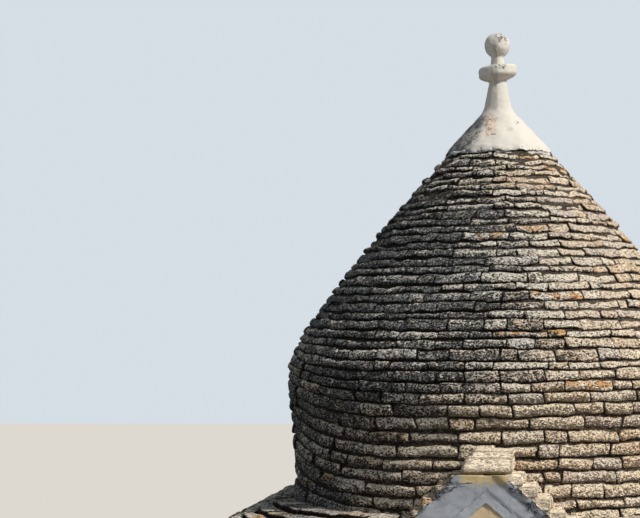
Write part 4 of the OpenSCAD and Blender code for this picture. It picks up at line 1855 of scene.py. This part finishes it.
@dataclass
class Walls:
    """The thick limewashed base walls, with the doorway's reveal and the room's inner faces."""

    corner: float = 0.70
    cell: float = 0.055
    seed: int = 60
    NODES = ("wall_front_left", "wall_front_right", "wall_left", "wall_right", "wall_back")

    def contour(self) -> Values:
        """Plan outline from the doorway's left jamb round the outside and back through the room.

        Returns:
            The outline's points, shape (n, 2).
        """
        low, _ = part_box("wall_front_left")
        jamb_low, jamb_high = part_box("door_jamb_right")
        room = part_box("wall_right")[0].x
        half = -low.x
        corners = [(jamb_high.x, -half), (half - self.corner, -half)]
        for quarter, (sx, sy) in enumerate(((1, -1), (1, 1), (-1, 1), (-1, -1))):
            centre = np.array([sx, sy]) * (half - self.corner)
            start = -math.pi / 2 + quarter * math.pi / 2
            for step in range(17):
                angle = start + step / 16 * math.pi / 2
                corners.append(tuple(centre + self.corner * np.array([math.cos(angle), math.sin(angle)])))
        near, far, back = jamb_low.x, jamb_high.x, jamb_high.y
        reveal = [(near, -room), (near, back), (far, back), (far, -half)]
        corners += [(-x, y) for x, y in reversed(reveal)]
        corners += [(-room, -room), (-room, room), (room, room), (room, -room), *reveal]
        points = [np.array(corners[0])]
        for corner in corners[1:]:
            corner = np.array(corner)
            gap = np.linalg.norm(corner - points[-1])
            pieces = max(1, round(gap / self.cell))
            start = points[-1]
            points += [start + (corner - start) * (k + 1) / pieces for k in range(pieces) if gap > STEP]
        return np.array(points[:-1])

    def build(self, finish: Material) -> None:
        """Builds the walls as one closed lumpy mesh.

        Args:
            finish: the limewash.
        """
        outline = self.contour()
        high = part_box("wall_back")[1].z
        rows = max(2, round(high / self.cell)) + 1
        levels = np.linspace(0.0, high, rows)
        along = np.roll(outline, -1, axis=0) - np.roll(outline, 1, axis=0)
        away = np.column_stack([along[:, 1], -along[:, 0]])
        away /= np.linalg.norm(away, axis=1, keepdims=True)
        flat = np.column_stack([np.tile(outline, (rows, 1)), np.repeat(levels, len(outline))])
        height = flat[:, 2]
        shift = 0.011 * roughness(flat, 0.42, self.seed) + 0.004 * lumps(flat, 0.11, self.seed + 4) - 0.012
        shift = shift - 0.012 * soft_drop(height, 0.0, 0.05) - 0.006 * soft_step(height, high - 0.04, high)
        flat[:, :2] += np.tile(away, (rows, 1)) * shift[:, None]
        outside = soft_step(np.maximum(np.abs(flat[:, 0]), np.abs(flat[:, 1])), 2.0, 2.2)
        splash = soft_drop(height + 0.10 * roughness(flat, 0.3, self.seed + 8), 0.02, 0.36) * 0.75
        under_edge = soft_step(height + 0.05 * lumps(flat, 0.2, self.seed + 9), high - 0.12, high) * 0.5
        grown = np.maximum(under_edge, 0.35 * splash) * outside
        marks = np.column_stack([grown, splash * 0.6, np.ones(len(flat)), np.zeros(len(flat))])
        sheet = MeshSheet()
        top = (rows - 1) * len(outline) + np.arange(len(outline))
        lids = [np.arange(len(outline))[::-1][None], top[None]]
        sheet.add(flat, [grid_faces(rows, len(outline), wrap=True), *lids], marks)
        piece = set_down(sheet, "limewashed_walls", finish, Slot.WHITEWASH, *self.NODES)
        LOG.info("%s: %d faces", piece.name, len(piece.data.polygons))


@dataclass
class Doorway:
    """The doorway's stones: jambs of stacked blocks, and a worn threshold."""

    blocks: int = 5
    seed: int = 80

    def build(self, finish: Material) -> None:
        """Builds the jambs and the threshold.

        Args:
            finish: the stones' material.
        """
        for side in Side:
            node = f"door_jamb_{side.name.lower()}"
            low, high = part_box(node)
            random = np.random.default_rng(self.seed + side.value)
            marks = np.linspace(low.z, high.z, self.blocks + 1)
            marks[1:-1] += random.uniform(-0.05, 0.05, self.blocks - 1)
            sheet = MeshSheet()
            for number, (bottom, top) in enumerate(zip(marks[:-1], marks[1:])):
                back = high.y - (0.0 if number % 2 else 0.02)
                block = Block(
                    (low.x + 0.003, low.y + random.uniform(0.002, 0.008), bottom + 0.003),
                    (high.x - 0.003, back, top - 0.003),
                    edge=0.014, rough=0.004, cell=0.04,
                )
                block.add_to(sheet, self.seed + number, random.uniform(), random.uniform())
            set_down(sheet, f"jamb_stones_{side.name.lower()}", finish, Slot.DOOR_STONE, node)
        low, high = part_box("threshold")
        sheet = MeshSheet()
        slab = Block(tuple(low), tuple(high), edge=0.016, rough=0.004, cell=0.025)
        slab.add_to(sheet, self.seed + 20, 0.7, 0.3)
        points = sheet.points[0]
        hollow = np.exp(-((points[:, 0] / 0.22) ** 2)) * soft_step(points[:, 2], 0.03, 0.05)
        points[:, 2] = np.clip(points[:, 2] - 0.010 * hollow, low.z, high.z)
        set_down(sheet, "worn_threshold", finish, Slot.DOOR_STONE, "threshold")
        LOG.info("doorway: jambs and threshold")


@dataclass
class FloorFlags:
    """Stone flags of many sizes, laid in rows over a bed."""

    row: float = 0.42
    joint: float = 0.010
    seed: int = 120
    BED = 0.030

    def build(self, finish: Material) -> None:
        """Builds the flags and their bed.

        Args:
            finish: the stones' material.
        """
        low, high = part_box("floor_paving")
        random = np.random.default_rng(self.seed)
        sheet = MeshSheet()
        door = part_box("door_jamb_right")[0].x
        beds = (((low.x, low.x), (high.x, high.y)), ((-door, low.y), (door, low.x)))
        for number, (near, far) in enumerate(beds, 1):
            bed = Block((*near, 0.0), (*far, self.BED), edge=0.004, rough=0.001, cell=0.2)
            bed.add_to(sheet, number, 0.2)
        count = 0
        y = low.y
        while y < high.y - 0.02:
            depth = next_length(high.y - y, self.row * random.uniform(0.8, 1.25), 0.12)
            inside = y + depth / 2 < low.x
            if inside:
                depth = min(depth, max(low.x - y, 0.1))
            left, right = (-door, door) if inside else (low.x, high.x)
            x = left
            while x < right - 0.02:
                width = next_length(right - x, random.uniform(0.34, 0.72), 0.14)
                gap = self.joint / 2
                block = Block(
                    (x + gap, y + gap, 0.012),
                    (x + width - gap, y + depth - gap, high.z - random.uniform(0.0, 0.004)),
                    edge=0.008, rough=0.0025, cell=0.20,
                )
                block.add_to(sheet, self.seed + count, random.uniform(), random.uniform())
                count += 1
                x += width
            y += depth
        for points in sheet.points:
            points[:, 2] = np.clip(points[:, 2], low.z, high.z)
        set_down(sheet, "floor_flags", finish, Slot.PAVING, "floor_paving")
        LOG.info("floor_flags: %d flags", count)


@dataclass
class Finial:
    """The whitewashed plaster cap and its finial: neck, tilted disc, collar and chipped ball."""

    turns: int = 132
    step: float = 0.0095
    tilt: float = math.radians(5.5)
    seed: int = 150
    NODES = ("plaster_cap", "finial_neck", "finial_disc", "finial_collar", "finial_ball")

    # Patches on the front: how far right and up of their base they lie, and half their width and height.
    BARE = (-0.065, 0.245, 0.076, 0.165)
    SPOTS = ((0.20, 0.27, 0.035, 0.030), (0.14, 0.19, 0.04, 0.022))
    BALL_CHIP = (0.035, 0.055, 0.075, 0.105)
    DISC_CHIP = (0.035, -0.03, 0.075, 0.05)

    def outline(self) -> Values:
        """Radius and height along the finial's face, from the cap's rim to the ball's top.

        Returns:
            One row per place, shape (n, 2).
        """
        rows: list[tuple[float, float]] = []
        for name in self.NODES:
            radius, level = node_profile(name)
            for height in np.unique(level):
                here = radius[level == height]
                rows.append((float(here.max()), float(height)))
        rows = [row for number, row in enumerate(rows) if number == 0 or row[1] > rows[number - 1][1] - STEP]
        points = np.array(rows)
        run = np.append(0.0, np.cumsum(np.hypot(*np.diff(points, axis=0).T)))
        even = np.arange(0.0, run[-1], self.step)
        radius, level = np.interp(even, run, points[:, 0]), np.interp(even, run, points[:, 1])
        kernel = np.array([1, 2, 3, 2, 1]) / 9
        inner = slice(2, -2)
        radius[inner] = np.convolve(radius, kernel, "valid")
        level[inner] = np.convolve(level, kernel, "valid")
        return np.column_stack([radius, level])

    def weather(self, flat: Points) -> tuple[Values, Values]:
        """Shapes and marks the plaster: lichen on the left, bare patches, chips, and grey painted shade
        where the light turns to shade.

        Args:
            flat: places on the smooth surface, shape (rows, turns, 3).

        Returns:
            How far the surface stands out at each place, and the marks there, shape (rows, turns, 4).
        """
        cap_low, cap_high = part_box("plaster_cap")
        disc_low, disc_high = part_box("finial_disc")
        ball_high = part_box("finial_ball")[1]
        x, y, z = flat[..., 0], flat[..., 1], flat[..., 2]
        noise = roughness(flat, 0.06, self.seed + 5)
        front = soft_step(-y, -0.02, 0.03)
        share = (z - cap_low.z) / (cap_high.z - cap_low.z)
        left = np.degrees(np.arctan2(-x, -y))
        lichen = soft_step(left, 8.0, 38.0) * soft_drop(left, 95.0, 140.0) * soft_drop(share, 0.75, 1.15)
        lichen = lichen * (0.55 - 0.10 * soft_step(share, 0.1, 0.7))
        rim = soft_drop(z, cap_low.z - 0.02, cap_low.z + 0.05) * 0.33

        def patch(base: float, right: float, rise: float, wide: float, tall: float) -> Values:
            """A ragged patch on the front, 1 inside it."""
            away = np.hypot((x - right) / wide, (z - (base + rise)) / tall) + 0.6 * noise
            return soft_drop(away, 0.55, 1.2) * front

        bare = patch(cap_low.z, *self.BARE)
        spots = np.maximum(*(patch(cap_low.z, *spot) for spot in self.SPOTS))
        crown = patch(ball_high.z - ball_high.x, *self.BALL_CHIP)
        disc_rim = soft_step(z, disc_low.z + 0.05, disc_low.z + 0.07)
        chipped = patch(disc_high.z, *self.DISC_CHIP) * disc_rim * (z < disc_high.z + 0.004)
        under = soft_step(z, disc_low.z - 0.01, disc_low.z + 0.01) * (1 - disc_rim)
        on_top = (z > disc_high.z - 0.01) & (z < disc_high.z + 0.01)
        on_cap = soft_drop(z, cap_high.z - 0.15, cap_high.z + 0.05)
        lump = 0.006 * roughness(flat, 0.12, self.seed) * (0.4 + on_cap)
        lump = lump + 0.002 * lumps(flat, 0.035, self.seed + 3)
        pitted = np.maximum(crown, 0.6 * np.maximum(bare, chipped))
        lump = lump - pitted * (0.004 + 0.006 * roughness(flat, 0.022, self.seed + 6))
        lump = lump - lichen * 0.006 * np.maximum(lumps(flat, 0.025, self.seed + 7), 0)
        ragged = soft_drop(z, cap_low.z, cap_low.z + 0.035)
        lump = lump + ragged * 0.014 * roughness(flat, 0.10, self.seed + 8) - 0.003
        chips = [crown * 0.42, chipped * 0.46, on_top * 0.35, spots * 0.40, bare * 0.36]
        grown = np.maximum.reduce([lichen, rim, *chips])
        stained = np.maximum(bare * 0.62, under * 0.42 * front)
        # Painted shade: grey where the neck and ball turn from the light, and on the cap's left.
        turned = left + 9 * noise
        shade_film = 0.55 * soft_step(turned, -10.0, 2.0) * soft_drop(left, 12.0, 30.0) * (1 - on_cap)
        cap_shade_film = 0.825 * soft_step(turned, 14.0, 40.0) * soft_drop(left, 100.0, 150.0) * on_cap
        return lump, np.stack([grown, stained, 1 - np.maximum(shade_film, cap_shade_film), 0 * grown], axis=-1)

    def build(self, finish: Material) -> None:
        """Builds the finial as one plastered surface.

        Args:
            finish: the plaster.
        """
        outline = self.outline()
        rim, foot = outline[0] - [0.0, 0.035]
        lip = [[rim - 0.05, foot], [rim + 0.018, foot], [rim + 0.010, foot + 0.018]]
        outline = np.vstack([lip, outline[2:]])
        rows = len(outline)
        turn = np.arange(self.turns) * TURN / self.turns
        flat = around(turn, outline[:, :1], outline[:, 1:])
        slope = np.gradient(outline, axis=0)
        normal = np.column_stack([slope[:, 1], -slope[:, 0]])
        normal /= np.maximum(np.linalg.norm(normal, axis=1, keepdims=True), TINY)
        away = around(turn, normal[:, :1], normal[:, 1:])
        lump, marks = self.weather(flat)
        points = flat + away * lump[..., None]
        cap_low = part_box("plaster_cap")[0]
        ragged = soft_drop(flat[..., 2], cap_low.z - 0.02, cap_low.z + 0.05)
        points[..., 2] += ragged * (0.030 * roughness(flat, 0.045, self.seed + 9) - 0.012)
        disc_low, disc_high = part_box("finial_disc")
        tilted = soft_step(points[..., 2], disc_low.z - 0.06, disc_low.z)
        tilted = tilted * soft_drop(points[..., 2], disc_high.z, disc_high.z + 0.05)
        points[..., 2] += tilted * math.tan(self.tilt) * points[..., 0]
        points[..., 2] = np.minimum(points[..., 2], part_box("finial_ball")[1].z)
        sheet = MeshSheet()
        crown = np.array([[0.0, 0.0, float(points[-1, :, 2].max())]])
        top = (rows - 1) * self.turns + np.arange(self.turns)
        fan = np.column_stack([top, np.roll(top, -1), np.full(self.turns, rows * self.turns)])
        lid = np.arange(self.turns)[::-1][None]
        every = np.concatenate([points.reshape(-1, 3), crown])
        every_mark = np.concatenate([marks.reshape(-1, 4), marks[-1, :1]])
        sheet.add(every, [grid_faces(rows, self.turns, wrap=True), fan, lid], every_mark)
        piece = set_down(sheet, "plaster_finial", finish, Slot.FINIAL_PLASTER, *self.NODES)
        LOG.info("%s: %d faces", piece.name, len(piece.data.polygons))


# The studio


@dataclass(frozen=True)
class Camera:
    """The camera, standing in front of the house at roof height."""

    spot: tuple[float, float, float] = (1.02, -17.68, 3.80)
    heading: float = math.radians(-9.35)
    pitch: float = math.radians(2.12)
    roll: float = math.radians(0.5)
    lens: float = 95.6
    sensor: float = 36.0

    def build(self) -> None:
        """Adds the camera and makes it the scene's."""
        data = bpy.data.cameras.new("camera")
        data.lens, data.sensor_width = self.lens, self.sensor
        data.clip_end = 200.0
        right = Vector((math.cos(self.heading), -math.sin(self.heading), 0.0))
        ahead = Vector((
            math.sin(self.heading) * math.cos(self.pitch),
            math.cos(self.heading) * math.cos(self.pitch),
            math.sin(self.pitch),
        ))
        up = right.cross(ahead)
        turned = math.cos(self.roll) * right - math.sin(self.roll) * up
        up = math.cos(self.roll) * up + math.sin(self.roll) * right
        camera = new_object("camera", data)
        axes = Matrix((turned, up, -ahead)).transposed().to_4x4()
        camera.matrix_world = Matrix.Translation(self.spot) @ axes
        bpy.context.scene.camera = camera


@dataclass(frozen=True)
class Studio:
    """A plain pale floor under one broad warm lamp and a pale surround."""

    toward: tuple[float, float, float] = (0.714, -0.333, 0.616)
    strength: float = 4.3
    softness: float = math.radians(9)
    tint: Colour = (1.0, 0.945, 0.87)
    surround: Colour = (0.86, 0.93, 1.0)
    fill: float = 0.40
    backdrop: Colour = paint(214, 222, 230)
    floor: Colour = paint(206, 203, 197)
    dull_floor: Colour = paint(136, 133, 128)
    size: float = 90.0

    def build(self) -> None:
        """Adds the lamp, the world and the floor."""
        lamp = bpy.data.lights.new("sun", "SUN")
        lamp.energy, lamp.angle, lamp.color = self.strength, self.softness, self.tint
        holder = new_object("sun", lamp)
        holder.rotation_euler = Vector(self.toward).to_track_quat("Z", "Y").to_euler()
        world = bpy.data.worlds.new("surround")
        bpy.context.scene.world = world
        world.use_nodes = True
        bench = NodeBench(world.node_tree)
        world.node_tree.nodes.clear()
        path = bench.add("ShaderNodeLightPath", {})
        light = bench.add("ShaderNodeBackground", {"Color": self.surround, "Strength": self.fill})
        seen = bench.add("ShaderNodeBackground", {"Color": self.backdrop, "Strength": 1.0})
        shares = {0: path.outputs["Is Camera Ray"], 1: light.outputs[0], 2: seen.outputs[0]}
        mixed = bench.add("ShaderNodeMixShader", shares)
        bench.add("ShaderNodeOutputWorld", {"Surface": mixed.outputs[0]})
        half = self.size / 2
        mesh = bpy.data.meshes.new("floor")
        corners = [(-half, -half, 0), (half, -half, 0), (half, half, 0), (-half, half, 0)]
        mesh.from_pydata(corners, [], [(0, 1, 2, 3)])
        floor = new_object("floor", mesh)
        material, bench, shader = new_material("floor", 0.95)
        seen = bench.add("ShaderNodeLightPath", {}).outputs["Is Camera Ray"]
        bench.feed(shader.inputs["Base Color"], bench.blend(seen, self.dull_floor, self.floor))
        dress(material, floor)


@dataclass(frozen=True)
class Palette:
    """Every finish of the house."""

    dry_stone: StoneFinish = StoneFinish(
        "dry_stone", paint(255, 237, 209), paint(230, 197, 162), paint(36, 22, 12)
    )
    pale_stone: StoneFinish = StoneFinish(
        "pale_stone", paint(246, 230, 204), paint(226, 202, 170), paint(84, 62, 44), bump=0.022, drawn=2.2,
        cool=paint(248, 226, 200), shadow=(1.0, 1.0, 1.0), grain=0.046, pitted=0.3, specks=0.04,
        weathered_and_shaded=0.0, ochre_share=0.2,
    )
    door_stone: StoneFinish = StoneFinish(
        "door_stone", paint(214, 202, 180), paint(190, 175, 150), paint(118, 102, 84), bump=0.005,
        bloom=paint(224, 212, 190), pitted=0.35, weathered_and_shaded=0.1, ochre_share=0.3,
    )
    paving: StoneFinish = StoneFinish(
        "paving", paint(196, 184, 164), paint(160, 147, 128), paint(96, 86, 74), bump=0.003,
        bloom=paint(204, 192, 170), pitted=0.3, weathered_and_shaded=0.0, ochre_share=0.3,
    )
    vault_stone: StoneFinish = StoneFinish(
        "vault_stone", paint(206, 192, 168), paint(168, 152, 128), paint(92, 78, 64), bump=0.02,
        pitted=0.5, weathered_and_shaded=0.0, marked=False,
    )
    rubble: StoneFinish = StoneFinish(
        "rubble", paint(176, 156, 128), paint(132, 112, 88), paint(72, 58, 44), bump=0.02,
        weathered_and_shaded=0.0, marked=False,
    )
    whitewash: PlasterFinish = PlasterFinish(
        "whitewash", paint(227, 225, 217), paint(218, 214, 205), paint(204, 196, 180), wear=0.08, streaks=0.3
    )
    # Darker and bluer than the walls' whitewash: painted shade over the whole gable.
    gable_plaster: PlasterFinish = PlasterFinish(
        "gable_plaster", paint(166, 171, 178), paint(148, 153, 161), paint(140, 138, 132),
        growth=paint(46, 48, 46), stain=paint(184, 164, 126), wear=0.2,
    )
    ochre: PlasterFinish = PlasterFinish(
        "ochre_stone", paint(204, 186, 156), paint(195, 172, 138), paint(180, 150, 114), wear=0.2
    )
    finial: PlasterFinish = PlasterFinish(
        "finial_plaster", paint(204, 200, 191), paint(197, 193, 186), paint(185, 179, 171),
        growth=paint(70, 70, 76), stain=paint(214, 192, 174), wear=0.05, streaks=0.12,
    )


ROOF_CUT = StoneCut(
    length=0.345, edge=0.014, depth=0.07, rough=0.012, lip=0.007, proud=0.012, sink=0.006, spread=0.36,
    joint=0.006, ends=1.2, belly=0.009,
)
DRUM_CUT = StoneCut(
    length=0.40, edge=0.019, depth=0.08, rough=0.014, lip=0.004, proud=0.014, sink=0.008, spread=0.34,
    joint=0.008, bed=0.009, ends=1.2, belly=0.012,
)
SKIRT_EDGE_CUT = StoneCut(
    length=0.36, edge=0.018, depth=0.09, rough=0.005, lip=0.0, proud=0.004, sink=0.016,
)
SKIRT_ROW_CUT = StoneCut(
    length=0.34, edge=0.016, depth=0.06, rough=0.007, lip=0.034, proud=0.005, sink=0.019, cells=(9, 5),
)


def roof_wash(points: Points) -> Values:
    """Limewash that ran from the plaster cap over the roof's top courses."""
    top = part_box("plaster_cap")[0].z
    reach = points[..., 2] + 0.04 * roughness(points, 0.14, 31)
    return 0.8 * soft_step(reach, top - 0.13, top - 0.03)


def build_courses(finish: Material) -> None:
    """Builds the roof's and the drum's courses, the drum's from just below the skirt's top.

    Args:
        finish: the stones' material.
    """
    roof = tuple(f"roof_courses_{number}" for number in range(1, 7))
    drum = ("drum_courses_lower", "drum_courses_upper")
    levels = CourseLevels.read(*drum, *roof)
    climb = JointWander(climb=0.24)
    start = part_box("skirt_back_right")[1].z - 0.15
    RoundCourses("roof_stones", roof, ROOF_CUT, 11, levels, wander=climb, wash=roof_wash).build(finish)
    RoundCourses("drum_stones", drum, DRUM_CUT, 21, levels, start, wander=climb).build(finish)


def dress_hidden_stones(palette: Palette, effects: Effects) -> None:
    """Gives the model's own lintels, vault and rubble their finishes.

    Args:
        palette: the house's finishes.
        effects: the shared node groups.
    """
    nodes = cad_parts
    lintel = replace(palette.door_stone, name="lintel_stone", weathered_and_shaded=0.80, specks=0.1, marked=False)
    dress(lintel.material(effects), *(nodes[f"lintel_{part}"] for part in ("outer", "middle", "inner")))
    vault = [nodes[name] for name in nodes if name.startswith("vault_") or name == "corner_slabs"]
    dress(palette.vault_stone.material(effects), *vault)
    dress(palette.rubble.material(effects), nodes["rubble_fill_lower"], nodes["rubble_fill_upper"])


def main() -> None:
    """Builds the studio and the house's pieces in order."""
    logging.basicConfig(level=logging.INFO, format="%(message)s")
    bpy.context.scene.view_settings.view_transform = "Standard"
    Camera().build()
    Studio().build()
    effects = Effects.make()
    palette = Palette()
    dry_stone = palette.dry_stone.material(effects)
    build_courses(dry_stone)
    gable = GableShape.read()
    SkirtRoof(SKIRT_EDGE_CUT, SKIRT_ROW_CUT, gable, seed=31).build(dry_stone)
    Gable(gable).build(
        palette.gable_plaster.material(effects),
        palette.ochre.material(effects),
        dry_stone,
        palette.pale_stone.material(effects),
    )
    Walls().build(palette.whitewash.material(effects))
    Doorway().build(palette.door_stone.material(effects))
    FloorFlags().build(palette.paving.material(effects))
    Finial().build(palette.finial.material(effects))
    dress_hidden_stones(palette, effects)


if __name__ == "__main__":
    main()
